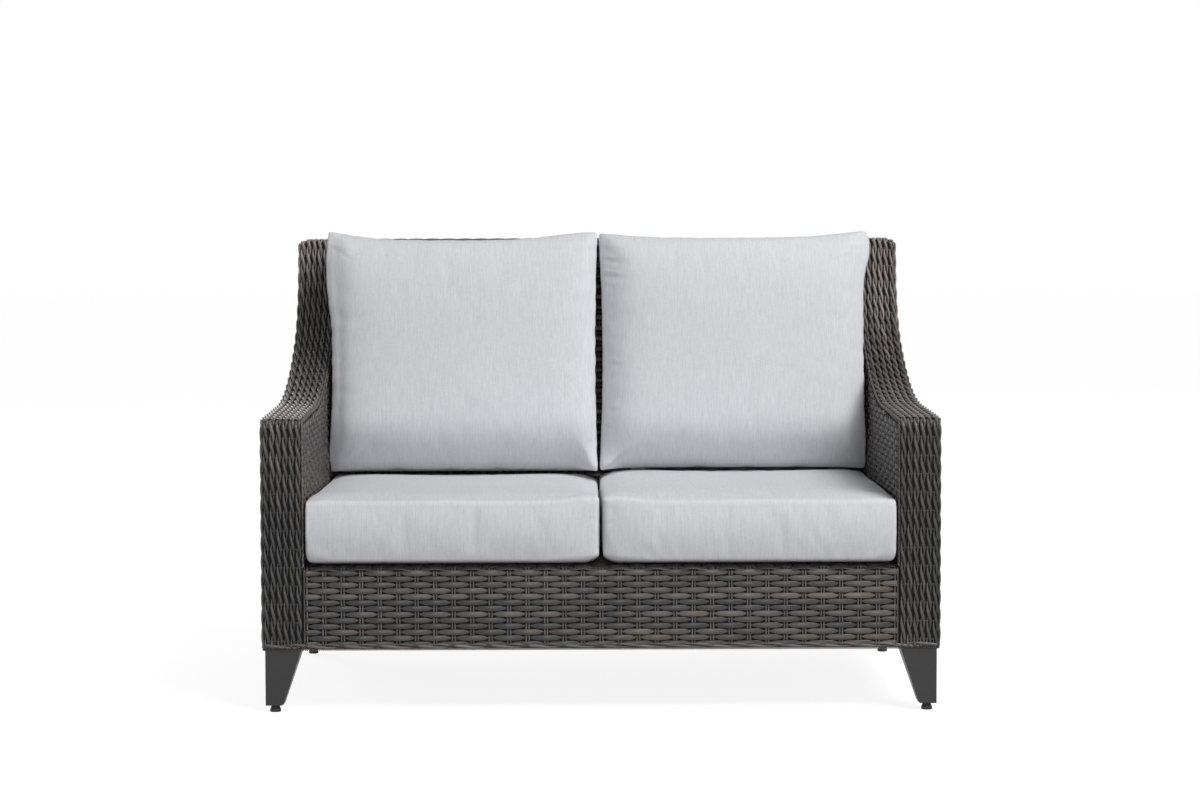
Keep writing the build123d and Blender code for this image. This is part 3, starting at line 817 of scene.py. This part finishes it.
def arm_outer_weave(side, name):
    """The outer side of one arm and wing, which goes on from the rear."""
    reaches = np.array([side_reach(z) + 6 * MM for z in lining_heights])
    lining(f"side_lining_{name}", wrap_surface, lining_heights, side * rear_split, side * reaches, columns=60)
    side_rows = []
    for number, z in enumerate(wrap_heights):
        reach = side_reach(z)
        if reach > rear_split + stake_pitch:
            side_rows.append((z, *sorted((side * rear_split, side * reach)), number))
    side_stakes = []
    for number in range(rear_stake_count + 1, int(wrap_length(front_y, weave_start) / stake_pitch) + 1):
        place = side * number * stake_pitch
        y = wrap_surface(np.array([place]), np.array([side_depth_height]))[0][0, 1]
        if y >= front_y + band_inset:
            top = arm_height(y) - band_inset if y < wing_start[0] else wrap_top
            side_stakes.append((place, weave_start, top))
    panel, node = f"arm_outer_weave_strands_{name}", f"arm_outer_weave_{name}"
    woven_panel(panel, wrap_surface, side_rows, side_stakes, node, per_pitch=6, sides=7)


def arm_inner_weave(side, name):
    """The inner face of one arm, with its lining."""
    def inner_surface(along, heights):
        """Points and normals on the inner face of this arm."""
        places = np.stack([np.full_like(along, side * (arm_inner_x + mid_skin)), along, heights], -1)
        return places, np.broadcast_to(np.array([-side, 0, 0]), places.shape)

    inner_top = wing_start[1] - band_inset
    inner_rows = []
    for number, z in enumerate(np.arange(deck_top + row_pitch / 2, inner_top, row_pitch)):
        start = arm_front_y(z + band_inset) + band_inset
        end = float(wing_line_y(z)) - 1 * MM
        if end - start > stake_pitch / 2:
            inner_rows.append((z, start, end, number))
    inner_stakes = []
    for number in range(-inner_stake_reach, inner_stake_reach):
        y = number * stake_pitch
        if front_y + band_inset <= y <= wing_start[0]:
            under_back = wing_top + (y - wing_end[0]) / tan(back_recline) + 8 * MM
            bottom = under_back if y > wing_line_y(deck_top) else deck_top
            top = arm_height(y) - band_inset
            if top - bottom > stake_pitch / 2:
                inner_stakes.append((y, bottom, top))
    panel, node = f"arm_inner_weave_strands_{name}", f"arm_inner_weave_{name}"
    woven_panel(
        panel, inner_surface, inner_rows, inner_stakes, node,
        per_pitch=8, sides=7, leaf=inner_leaf, shade=inner_painted_shade,
    )
    inner_heights = np.linspace(deck_top, inner_top, 50)
    inner_starts = np.array([arm_front_y(z + band_inset) for z in inner_heights]) + 7 * MM
    inner_ends = wing_line_y(inner_heights)
    lining(f"arm_inner_lining_{name}", inner_surface, inner_heights, inner_starts, inner_ends, columns=40)


def arm_band(side, name):
    """The band over one arm, with its lining."""
    def band_surface(across, lengths):
        """Points and normals of this arm's edge band."""
        return arm_surface(lengths, across)

    centre_x = side * (arm_inner_x + half_width) / 2
    band_half = (half_width - arm_inner_x) / 2 - 3.4 * MM
    band_levels = np.arange(5 * MM, band_end, 4 * MM)
    inner_x, outer_x = centre_x - band_half, centre_x + band_half
    lining(f"edge_band_lining_{name}", band_surface, band_levels, inner_x, outer_x, columns=6)
    band = edge_band(side, band_tones_and_painted_light[name]).piece(f"edge_band_{name}", woven)
    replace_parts(band, f"arm_top_weave_{name}", f"front_post_weave_{name}")


for side, name in ((-1, "left"), (1, "right")):
    arm_outer_weave(side, name)
    arm_inner_weave(side, name)
    arm_band(side, name)

# Top of the back: twined ropes along X over the rounded edge
top_route = Route((wing_line_y(back_high), back_high), wing_heading)
top_cut = edge_radius * tan(wing_heading / 2)
rear_turn = pi / 2 + atan2(rear_lean, wing_top - edge_radius - weave_bottom)
rear_cut = edge_radius * tan(rear_turn / 2)
top_route.straight(back_margin / cos(back_recline) - top_cut).bend(edge_radius, -wing_heading)
top_route.straight(rear_line_y(wing_top) - wing_end[0] - top_cut - rear_cut).bend(edge_radius, -rear_turn)
top_route.straight(back_margin)
top_strands = Strands()
top_ropes = int(round(top_route.length / rope_pitch))
top_xs = np.arange(-apron_half, apron_half, rope_step)
for rope in range(top_ropes):
    points, headings = top_route.at(np.array([(rope + 0.5) * top_route.length / top_ropes]))
    normal = np.array([0, -sin(headings[0]), cos(headings[0])])
    centre = np.array([0, *points[0]]) - mid_skin * normal
    centres = np.stack([top_xs, np.full_like(top_xs, centre[1]), np.full_like(top_xs, centre[2])], -1)
    normals = np.broadcast_to(normal, centres.shape)
    twined_rope(top_strands, centres, normals, top_xs, top_phase_step * rope, 1)
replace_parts(top_strands.piece("back_top_ropes", woven), "back_top_weave")

# Bottom border: one rope all round, and a fine coil under it
border_line = Route((0, front_y + mid_skin), 0)
border_half = half_width - corner_radius
side_run = rear_line_y(weave_bottom) - front_y - 2 * corner_radius
border_line.straight(border_half)
for run in (side_run, 2 * border_half, side_run, border_half):
    border_line.bend(corner_radius - mid_skin, pi / 2).straight(run)


def border_places(lengths, height):
    """Points and outward normals along the border, at a height above the foot of the weave."""
    points, headings = border_line.at(lengths)
    centres = np.stack([points[:, 0], points[:, 1], np.full(len(lengths), weave_bottom + height)], -1)
    return centres, np.stack([np.sin(headings), -np.cos(headings), np.zeros_like(headings)], -1)


border_strands = Strands()
rope_lengths = np.arange(0, border_line.length, stake_pitch / 6)
centres, normals = border_places(rope_lengths, border_rope_height)
twined_rope(border_strands, centres, normals, rope_lengths, 0.0, 1, 0.0, 2 * stake_pitch, border_rope_slimness)
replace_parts(border_strands.piece("bottom_border_rope", woven), "bottom_border")

coil_strands = Strands()
coil_lengths = np.arange(0, border_line.length, coil_pitch / 7)
centres, normals = border_places(coil_lengths, coil_height)
turn = 2 * pi * coil_lengths / coil_pitch
outward = np.cos(turn)[:, None] * normals + np.sin(turn)[:, None] * np.array([0, 0, 1])
coil_strands.add(centres + coil_radius * outward, outward, coil_thickness, coil_thickness, coil_tone, sides=5)
coil_strands.piece("bottom_border_coil", woven)


# Cushions
def spaced(half, step, fine):
    """Places from -half to half: a few close to the ends, then even steps."""
    edge = [offset * MM for offset in (0, *fine)]
    inner = half - edge[-1]
    middle = np.linspace(-inner, inner, max(int(2 * inner / step), 2) + 1)
    start = [-half + offset for offset in edge[:-1]]
    end = [half - offset for offset in edge[-2::-1]]
    return np.concatenate([start, middle, end])


def box_grid(*sides):
    """A closed box whose faces are grids: its vertices and faces."""
    places, faces, index = [], [], {}
    counts = [len(side) - 1 for side in sides]

    def vertex(corner):
        if corner not in index:
            index[corner] = len(places)
            places.append([side[step] for side, step in zip(sides, corner)])
        return index[corner]

    for fixed, first, second in ((2, 0, 1), (1, 0, 2), (0, 1, 2)):
        for i, j in np.ndindex(counts[first], counts[second]):
            for level in (0, counts[fixed]):
                ring = ((0, 0), (0, 1), (1, 1), (1, 0))
                if (level > 0) != (fixed == 1):
                    ring = ((0, 0), (1, 0), (1, 1), (0, 1))
                face = []
                for a, b in ring:
                    corner = [level, level, level]
                    corner[first], corner[second] = i + a, j + b
                    face.append(vertex(tuple(corner)))
                faces.append(face)
    return np.array(places), faces


def fades(distance, reach):
    """From 1 at no distance smoothly towards 0 beyond a reach."""
    return np.exp(-((distance / reach) ** 2))


def smooth_step(value):
    """0 below 0, 1 above 1, and smooth between."""
    value = np.clip(value, 0, 1)
    return value * value * (3 - 2 * value)


def least(*heights):
    """A smooth lowest of several heights between 0 and 1, which keeps a soft ridge where two meet."""
    sharpness = 5
    total = sum(np.maximum(height, 0.02) ** -sharpness for height in heights)
    return total ** (-1 / sharpness)


def fold(across, up, start, toward, length, width):
    """How much a place lies on a fold that runs from a start towards an angle, in the plane of a face."""
    angle = radians(toward)
    along = (across - start[0]) * cos(angle) + (up - start[1]) * sin(angle)
    aside = -(across - start[0]) * sin(angle) + (up - start[1]) * cos(angle)
    spread = width * (0.5 + np.clip(along / length, 0, 1))
    window = smooth_step(along / (0.15 * length)) * smooth_step((length - along) / (0.6 * length))
    return np.exp(-((aside / spread) ** 2)) * window


# Grids of the pads, in metres across and millimetres from each edge, and the puckers of their cloth
fine_steps = (5 * MM, 5 * MM, 4.5 * MM)
edge_steps = (0.8, 1.8, 3.0, 4.5)
coarse_step = 11 * MM
coarse_edges = (2.0, 5.0)
cloth_frames = 20
broad_passes = 45
pucker_share = 0.5
pucker_most = 3 * MM


def seam_ridge(facing, first, second):
    """1 on the crest of an edge between two faces, and 0 on the faces."""
    return (2 * np.abs(facing[:, first] * facing[:, second])) ** 5


def rounded_with_facing(places, half, radii):
    """Box places moved onto rounded edges, and the way that each faces."""
    core = np.clip(places, -(half - radii), half - radii)
    facing = unit((places - core) / radii)
    return core + facing * radii, facing


def fabric_pad(name, half, form, centre):
    """A pad: its form on a fine grid, with the puckers that its fabric makes as it settles on a coarse one."""
    fine, faces = box_grid(*(spaced(reach, step, edge_steps) for reach, step in zip(half, fine_steps)))
    places, held = form(fine)
    coarse, coarse_faces = box_grid(*(spaced(reach, coarse_step, coarse_edges) for reach in half))
    rest, held_coarse = form(coarse)
    shift = settled(name, rest, coarse_faces, held_coarse)
    places = places + spread_over(places, rest, shift)
    pad = mesh_object(name, places + centre, faces)
    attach(pad, name)
    return pad


def settled(name, rest, faces, held):
    """How far the fabric of a pad puckers when it settles as cloth under air pressure, with its seams held."""
    pad = mesh_object(name + "_cloth", rest, faces, smooth=False)
    group = pad.vertex_groups.new(name="seams")
    for index in np.flatnonzero(held > 0.02).tolist():
        group.add([index], float(held[index]), "REPLACE")
    cloth = pad.modifiers.new("cloth", "CLOTH")
    settings = cloth.settings
    settings.quality = 5
    settings.mass = 0.25
    settings.tension_stiffness = settings.compression_stiffness = 12
    settings.shear_stiffness = 4
    settings.bending_stiffness = 0.35
    settings.use_pressure = True
    settings.uniform_pressure_force = 3
    settings.vertex_group_mass = "seams"
    settings.shrink_min = settings.shrink_max = -0.012
    settings.effector_weights.gravity = 0
    cloth.collision_settings.use_collision = False
    for number in range(1, cloth_frames + 1):
        bpy.context.scene.frame_set(number)
    shaped = pad.evaluated_get(bpy.context.evaluated_depsgraph_get())
    moved = np.empty(len(rest) * 3)
    shaped.data.vertices.foreach_get("co", moved)
    shift = moved.reshape(-1, 3) - rest
    edges = np.empty(len(pad.data.edges) * 2, int)
    pad.data.edges.foreach_get("vertices", edges)
    first, second = edges.reshape(-1, 2).T
    count = np.bincount(np.concatenate([first, second]), minlength=len(rest))[:, None]
    broad = shift
    for _ in range(broad_passes):
        total = np.zeros_like(broad)
        np.add.at(total, first, broad[second])
        np.add.at(total, second, broad[first])
        broad = total / count
    bpy.data.objects.remove(pad)
    bpy.context.scene.frame_set(1)
    puckers = (shift - broad) * pucker_share
    size = np.linalg.norm(puckers, axis=1, keepdims=True)
    return puckers * np.minimum(1, pucker_most / np.maximum(size, 1e-9)) * (1 - held[:, None])


def spread_over(places, rest, shift):
    """A shift known at coarse places, spread smoothly over fine ones."""
    tree = kdtree.KDTree(len(rest))
    for index, place in enumerate(rest.tolist()):
        tree.insert(place, index)
    tree.balance()
    spread = np.empty_like(places)
    for number, place in enumerate(places.tolist()):
        found = tree.find_n(place, 7)
        weights = np.exp(-np.array([(distance / (0.8 * coarse_step)) ** 2 for _, _, distance in found]))
        spread[number] = weights @ shift[[index for _, index, _ in found]] / weights.sum()
    return spread


def seat_cushion(side, name, sag, puckers):
    """A boxed seat cushion: crisp seams, pointed outer corner, softer and puckered inner corner."""
    corner_low, corner_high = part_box(f"seat_cushion_cover_{name}")
    centre = np.array((corner_low + corner_high) / 2)
    half = np.array((corner_high - corner_low) / 2) - np.array([1, 1, 0]) * MM

    def form(places):
        return seat_form(places, half, side, sag, puckers)

    return fabric_pad(f"seat_cushion_{name}", half, form, centre)


seat_crown = 12.5 * MM
seat_front_bulge = 8.5 * MM
seat_end_bulge = 2 * MM
seat_inner_bulge = 3 * MM
seat_rear_draw = 5 * MM
seat_foot_lift = 11 * MM
seat_bevel = 0.27


def seat_form(places, half, side, sag, puckers):
    """Places on a box moved onto a seat cushion, and how much each lies on a seam."""
    # Edges: crisp at the top, softer at the foot and rounded at the inner corner
    outer, height = side * places[:, 0] / half[0], places[:, 2] / half[2]
    inner_share = smooth_step((-outer - 0.6) / 0.4)
    outer_share = smooth_step((outer - 0.8) / 0.2)
    lowness = smooth_step(-height)
    radii = np.empty_like(places)
    radii[:, 0] = (4 + inner_share * (8 + 34 * lowness) + outer_share * 6 * lowness) * MM
    radii[:, 1] = (6.5 + 4 * inner_share + 0.5 * lowness) * MM
    radii[:, 2] = (6.5 + inner_share * 11 * lowness + outer_share * 20 * lowness + 0.5 * lowness) * MM
    places, facing = rounded_with_facing(places, half, radii)
    ridge = seam_ridge(facing, 1, 2) + seam_ridge(facing, 0, 2) + 0.8 * inner_share * seam_ridge(facing, 0, 1)
    ridge = np.minimum(ridge, 1)
    bevel = (2 * np.abs(facing[:, 1] * facing[:, 2])) ** 1.2 * (facing[:, 2] > 0) * (facing[:, 1] < 0)
    places = places - (seat_bevel * radii[:, 2] * bevel)[:, None] * facing

    # The top crowns and the foot lifts at the front
    across, deep, up = places.T
    to_inner, to_outer = half[0] + side * across, half[0] - side * across
    to_front, to_rear = half[1] + deep, half[1] - deep
    reaches = ((to_front, 120), (to_rear, 60), (to_inner, 38), (to_outer, 34))
    crown = least(*(np.tanh(distance / (reach * MM)) for distance, reach in reaches))
    topness = smooth_step((up / half[2] + 0.2) / 1.2)
    edge_wave = 5 * MM * fades(to_inner - 30 * MM, 45 * MM) * fades(to_front, 90 * MM)
    edge_wave = edge_wave - 4 * MM * fades(to_outer, 22 * MM) * fades(to_front, 60 * MM)
    up = up - topness * (seat_crown * (1 - crown) - edge_wave)
    up = up + (1 - topness) * seat_foot_lift * fades(to_front, 45 * MM) * lowness

    # The front and the inner side bulge, the rear draws in beside the zip, and the top sags rearwards
    bulge = np.clip(1 - (up / half[2]) ** 2, 0, 1)
    deep = deep - seat_front_bulge * bulge * fades(to_front, 30 * MM) * smooth_step(to_inner / (110 * MM))
    deep = deep - seat_end_bulge * bulge * fades(to_front, 30 * MM)
    across = across + side * seat_inner_bulge * bulge * fades(to_inner, 20 * MM) * (deep < 0)
    deep = deep - seat_rear_draw * (up / half[2]) ** 2 * fades(to_rear, 30 * MM)
    rearward = smooth_step((to_front - 30 * MM) / (330 * MM))
    up = up - topness * (7 * MM * fades(to_inner, 26 * MM) + sag * MM) * rearward

    # Puckers at the inner front corner, a fine ripple along the seams and a slow wave over the top
    for drop, reach, width, depth in puckers:
        crease = fades(half[2] - up - drop * MM, width * MM) * fades(to_front, 12 * MM)
        deep = deep + depth * MM * crease * fades(to_inner - (5 + reach) * MM, reach * MM)
    ripple = np.sin(across * 520 + 3 * np.sin(across * 61)) * np.sin(across * 37 + side)
    deep = deep + 0.35 * MM * ripple * fades(to_front, 6 * MM) * fades(np.abs(up) - half[2] + 8 * MM, 7 * MM)
    up = up + topness * (0.8 * np.sin(across * 21 + side) * np.sin(deep * 17 + 2 * side)) * MM
    resting = smooth_step((np.maximum(-up - half[2], deep - half[1]) + 6 * MM) / (4 * MM))
    return np.stack([across, deep, up], -1), np.maximum(ridge, resting)


# Back cushions: how thick their edges are, how far the face crowns, the gap behind them and the ears' height
back_edge_depth = 200 * MM
back_crown = 27 * MM
back_gap = 0.4 * MM
ear_height = 22 * MM


def turned_under(distance, reach, power):
    """From 0 at an edge to 1 at a reach from it; a higher power turns more towards the edge."""
    return 1 - np.clip(1 - distance / reach, 0, 1) ** power


def corner_folds(across, up, half, side, inner_fold):
    """Height of the folds that run out of the four corners of a back cushion's face, in millimetres."""
    folds = 0
    for sign in (1, -1):
        facing = 180 if sign > 0 else 0
        start = (sign * (half[0] - 4 * MM), half[1] - 6 * MM)
        for turn, length, depth in ((12, 60, 1.8), (30, 80, 2.2), (56, 66, 1.5)):
            share = depth * (1.0 if sign == side else 0.7)
            folds = folds + share * fold(across, up, start, facing + sign * turn, length * MM, 4 * MM)
            below = (start[0], start[1] - 7 * MM)
            folds = folds - 0.7 * share * fold(across, up, below, facing + sign * turn, length * MM, 4.5 * MM)
        base = (sign * (half[0] - 6 * MM), -half[1] + 5 * MM)
        length, depth = (110, 3.0) if sign == side else inner_fold
        folds = folds + depth * fold(across, up, base, facing - sign * 40, length * MM, 6 * MM)
        beside = (base[0], base[1] - 9 * MM)
        folds = folds - 0.6 * depth * fold(across, up, beside, facing - sign * 36, length * MM, 6 * MM)
        folds = folds + 1.2 * fold(across, up, base, facing - sign * 64, 90 * MM, 6 * MM)
    return folds


def back_cushion(side, name, look):
    """A thick back cushion with ears at its corners, a crowned face and folds that run out of the corners."""
    corner_low, corner_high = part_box(f"back_cushion_cover_{name}")
    half_across = (corner_high.x - corner_low.x) / 2 - 1.5 * MM
    half_up = (corner_high.z - corner_low.z - ear_height) / 2
    middle_x = (corner_high.x + corner_low.x) / 2
    middle_z = (corner_high.z + corner_low.z - ear_height) / 2
    half = np.array([half_across, half_up, back_edge_depth / 2])
    zip_low, zip_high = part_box(f"back_cushion_zip_{name}")
    rear_y = wing_line_y(corner_low.z) - back_gap
    zip_out = rear_y - (zip_low.y + zip_high.y) / 2 - half[2]

    def form(places):
        across, up, out, held = back_form(places, half, side, zip_out, look)
        height = middle_z + up
        depth = wing_line_y(height) - back_gap - (out + half[2])
        before_arm = np.maximum(np.interp(height, climb_z, climb_y) - 6 * MM - depth, 0)
        outward = np.minimum(side * (middle_x + across), arm_inner_x + 0.6 * before_arm)
        return np.stack([side * outward, depth, height], -1), held

    return fabric_pad(f"back_cushion_{name}", half, form, np.zeros(3))


def back_form(places, half, side, zip_out, look):
    """Places on a box moved onto a back cushion, as across, up and out, and how much each is held."""
    to_side = half[0] - np.abs(places[:, 0])
    to_end = half[1] - np.abs(places[:, 1])
    cornering = fades(np.maximum(to_side, to_end), 45 * MM)
    radius = (13 - 8 * cornering) * MM
    places, facing = rounded_with_facing(places, half, np.repeat(radius[:, None], 3, 1))
    across, up, out = places.T
    to_inner, to_outer = half[0] + side * across, half[0] - side * across
    to_top, to_bottom = half[1] - up, half[1] + up
    crown = least(
        turned_under(to_inner, *look["inner_slope"]),
        turned_under(to_outer - 5 * MM, 80 * MM, 1.8),
        turned_under(to_bottom, 100 * MM, 1.9),
        turned_under(to_top, 95 * MM, 2.6),
    )
    frontness = smooth_step((out / half[2] - 0.4) / 0.6)

    # The face draws back towards the foot, the top and the sides
    inner_lobe = 1 - 0.75 * fades(to_inner, 40 * MM) * fades(to_bottom, 75 * MM)
    tucked = np.clip(1 - to_bottom / (130 * MM), 0, 1) ** 2 * inner_lobe
    leaned = np.clip(1 - to_top / (170 * MM), 0, 1) ** 2
    drawn_in = np.clip(1 - to_inner / (80 * MM), 0, 1) ** 2
    rounded = (across / half[0]) ** 2
    foreness = (out / half[2] + 1) / 2
    withdrawn = 84 * tucked + 20 * leaned + look["broad_crown"] * rounded + look["inner_tuck"] * drawn_in
    out = out + back_crown * crown * frontness - withdrawn * MM * foreness

    # The top rises to the ears, and the foot sags behind its front edge, except beside the zip
    forward = smooth_step((out / half[2] + 0.6) / 1.2)
    topness, bottomness = smooth_step(up / half[1]), smooth_step(-up / half[1])
    beside_zip = np.maximum(np.abs(out - zip_out) - 15 * MM, np.abs(across) - 240 * MM)
    settling = bottomness * (1 - forward) * smooth_step(beside_zip / (8 * MM))
    up = up + look["rise"] * MM * topness * forward - look["sag"] * MM * settling
    for distance, (height, reach, power) in zip((to_outer, to_inner), look["ears"]):
        ear = np.exp(-((np.maximum(distance, 0) / (reach * MM)) ** power))
        up = up + height * MM * ear * topness * forward
    lifted = least(np.tanh(to_inner / (90 * MM)), np.tanh(to_outer / (70 * MM)))
    up = up + 9 * MM * lifted * bottomness ** 3 * forward

    # The sides bulge and flare at the outer edge, and draw in at half height
    size, below, reach = look["outer_bulge"]
    bulge = size * MM * fades(to_outer, 25 * MM) * fades(to_top - below * MM, reach * MM) * frontness
    bulge = bulge + look["outer_flare"] * MM * fades(to_outer, 30 * MM) * fades(to_bottom, 75 * MM) * frontness
    draw = look["inner_draw"] * fades(to_inner, 25 * MM) + 4.9 * fades(to_outer, 25 * MM)
    draw = draw * MM * (1 - (up / half[1]) ** 2).clip(0)
    across = across + side * bulge - np.sign(across) * draw

    # Folds, creases and the valley beside the outer seam
    folds = corner_folds(across, up, half, side, look["inner_fold"])
    toward = (0 if side > 0 else 180) - side * 8
    for drop, length, depth in look["side_creases"]:
        start = (-side * (half[0] - 5 * MM), half[1] - drop * MM)
        folds = folds + depth * fold(across, up, start, toward, length * MM, 3.5 * MM)
        folds = folds - depth * fold(across, up, (start[0], start[1] - 6 * MM), toward, length * MM, 4 * MM)
    valley = 2.6 * MM * fades(to_outer - 20 * MM, 14 * MM) * (1 - fades(to_bottom, 40 * MM))
    out = out + (folds * MM - valley) * frontness
    wobble = np.sin(across * 19 + 1.3 * side) * np.sin(up * 23 + side)
    out = out + 1.1 * MM * wobble * frontness * crown
    for place, depth in ((-0.25, 3), (0.12, 2), (0.5, 2.5)):
        dent = fades(side * across - place * half[0], 22 * MM) * fades(to_bottom, 14 * MM)
        up = up + depth * MM * dent * frontness
    notch = np.sin(up * 47 + side) ** 9 + 0.4 * np.sin(up * 160)
    notch = notch * fades(np.minimum(to_inner, to_outer), 12 * MM) * frontness
    across = across - np.sign(across) * 0.8 * MM * notch
    seams = np.minimum(seam_ridge(facing, 1, 2) + seam_ridge(facing, 0, 2), 1)
    return across, up, out, np.maximum(seams, smooth_step(1 - frontness * 2))


# What differs between the cushions, in millimetres and powers
seat_puckers = {
    "left": ((17, 9, 2.2, 2.6), (39, 6, 2.4, 0.7), (54, 9, 2.6, 0.9), (83, 7, 2.4, 0.8), (101, 5, 2.2, 0.5)),
    "right": ((38, 16, 20, 2.4), (30, 8, 2.6, 0.6), (62, 9, 2.4, 0.7), (90, 6, 2.4, 0.6)),
}
back_looks = {
    "left": {
        "rise": 1.5,
        "sag": 8,
        "broad_crown": 14,
        "inner_tuck": 0,
        "outer_bulge": (14, 85, 85),
        "outer_flare": 9,
        "inner_draw": 5.0,
        "ears": ((21, 75, 1.2), (18, 130, 2.2)),
        "inner_fold": (70, 3.5),
        "inner_slope": (70 * MM, 1.8),
        "side_creases": ((150, 30, 0.8), (372, 25, 1.4), (446, 22, 1.8)),
    },
    "right": {
        "rise": 6.0,
        "sag": 1,
        "broad_crown": 24,
        "inner_tuck": 19,
        "outer_bulge": (14, 40, 45),
        "outer_flare": 3,
        "inner_draw": 8.0,
        "ears": ((16, 90, 1.4), (13, 80, 1.3)),
        "inner_fold": (120, 6.5),
        "inner_slope": (100 * MM, 1.5),
        "side_creases": (
            (35, 60, 3.0), (70, 65, 3.2), (94, 45, 2.2), (268, 55, 1.8), (372, 45, 1.6), (412, 24, 2.6),
        ),
    },
}
pads = [
    seat_cushion(-1, "left", sag=8, puckers=seat_puckers["left"]),
    seat_cushion(1, "right", sag=0, puckers=seat_puckers["right"]),
    back_cushion(-1, "left", back_looks["left"]),
    back_cushion(1, "right", back_looks["right"]),
]
for pad in pads:
    kind, name = pad.name.split("_cushion_")
    give(pad, canvas)
    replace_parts(pad, f"{kind}_cushion_cover_{name}", f"{kind}_cushion_core_{name}")

# Zips
tape_half_width = 12 * MM
tape_half_thickness = 0.8 * MM
tape_lift = 0.5 * MM
tooth_pitch = 1.6 * MM
tooth_half_length = 2.4 * MM
tooth_radius = 0.6 * MM
tooth_lift = 1.75 * MM
teeth_inset = 5 * MM
stitch_step = 4 * MM
stitch_length = 0.7 * stitch_step
stitch_row = 8 * MM
stitch_lift = 1.1 * MM
stitches_inset = 3 * MM
stitch_half_width = 0.35 * MM
stitch_half_depth = 0.3 * MM


def zip_chain(kind, name, face, outward, across):
    """A closed zip on a cushion: its tape, the teeth of its coil and two rows of stitches, on a face."""
    corner_low, corner_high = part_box(f"{kind}_cushion_zip_{name}")
    middle = np.array((corner_low + corner_high) / 2)
    middle = middle - (middle @ outward) * outward + face * outward
    half_long = (corner_high.x - corner_low.x) / 2
    strands = Strands()

    def lay(xs, beside, lift, half_width, half_depth, tone, sides):
        """Strands on the face, from how far along, beside and above its middle they run."""
        line = middle + xs[..., None] * np.array([1, 0, 0]) + beside * across + lift * outward
        strands.add(line, np.broadcast_to(outward, line.shape), half_width, half_depth, tone, sides)

    tape = np.linspace(-half_long, half_long, 60)
    lay(tape, 0, tape_lift, tape_half_width, tape_half_thickness, tone=0.0, sides=14)
    teeth = np.arange(teeth_inset - half_long, half_long - teeth_inset, tooth_pitch)
    widths = np.linspace(-tooth_half_length, tooth_half_length, 5)
    lay(teeth[:, None], widths[:, None], tooth_lift, tooth_radius, tooth_radius, tone=0.85, sides=6)
    starts = np.arange(stitches_inset - half_long, half_long - stitches_inset, stitch_step)
    run = np.array([0, 0.5, 1]) * stitch_length
    for row in (-stitch_row, stitch_row):
        lay(starts[:, None] + run, row, stitch_lift, stitch_half_width, stitch_half_depth, tone=0.25, sides=5)
    chain = strands.piece(f"{kind}_zip_chain_{name}", zip_cloth, f"{kind}_cushion_{name}", "zip_tape")
    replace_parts(chain, f"{kind}_cushion_zip_{name}")


for name in ("left", "right"):
    seat_face = high(f"seat_cushion_cover_{name}").y - 1 * MM
    zip_chain("seat", name, seat_face, np.array([0, 1, 0]), np.array([0, 0, 1]))
    back_face = -low(f"back_cushion_cover_{name}").z - 0.5 * MM
    zip_chain("back", name, back_face, np.array([0, 0, -1]), np.array([0, 1, 0]))


# Camera at the photograph's place, floor and light
camera_place = (-0.05, -5.904, 0.9485)
camera_yaw, camera_pitch, camera_roll = radians(-0.506), radians(90 - 3.178), radians(-0.134)
camera_data = bpy.data.cameras.new("camera")
camera_data.lens = 80.15
camera_data.sensor_width = 36
camera = bpy.data.objects.new("camera", camera_data)
bpy.context.scene.collection.objects.link(camera)
turned = Matrix.Rotation(camera_yaw, 4, "Z") @ Matrix.Rotation(camera_pitch, 4, "X")
turned = turned @ Matrix.Rotation(camera_roll, 4, "Z")
camera.matrix_world = Matrix.Translation(camera_place) @ turned
bpy.context.scene.camera = camera

white = (1, 1, 1, 1)
floor_reach = 60
floor_glow = 0.86
floor_grey = 0.3
world_strength = 0.13


def floor_finish():
    """Pale floor that reads as white where it is looked at, and keeps the object's shadow."""
    finish = Finish(bpy.data.materials.new("pale_floor"))
    finish.set({"Base Color": (floor_grey, floor_grey, floor_grey, 1), "Roughness": 0.9})
    glow = finish.node("ShaderNodeEmission", {}, {"Strength": floor_glow})
    plain = Value(finish, finish.shader.outputs[0])
    finish.show_bright(finish.node("ShaderNodeAddShader", {}, {0: plain, 1: glow}))
    return finish.owner


floor_corners = np.array([(-1, -1, 0), (1, -1, 0), (1, 1, 0), (-1, 1, 0)]) * floor_reach
floor = mesh_object("floor", floor_corners, [(0, 1, 2, 3)], smooth=False)
give(floor, floor_finish())


def soft_lamp(name, place, size, power, aim=(0, 0, 0.5)):
    """A square area lamp that points at the object."""
    data = bpy.data.lights.new(name, "AREA")
    data.size = size
    data.energy = power
    lamp = bpy.data.objects.new(name, data)
    lamp.location = place
    lamp.rotation_mode = "QUATERNION"
    lamp.rotation_quaternion = (Vector(aim) - Vector(place)).to_track_quat("-Z", "Y")
    bpy.context.scene.collection.objects.link(lamp)


soft_lamp("key", place=(3.8, -4.1, 6.25), size=4, power=512)
soft_lamp("fill", place=(0.2, -7.5, 1.5), size=3, power=112)
soft_lamp("rear", place=(-5.0, 6.0, 1.6), size=3, power=115)

studio = Finish(bpy.data.worlds.new("studio"), "Background", "World Output")
studio.set({"Color": white, "Strength": world_strength})
studio.show_bright(studio.node("ShaderNodeBackground", {}, {"Color": white, "Strength": 1.0}))
bpy.context.scene.world = studio.owner

bpy.context.scene.view_settings.view_transform = "Standard"
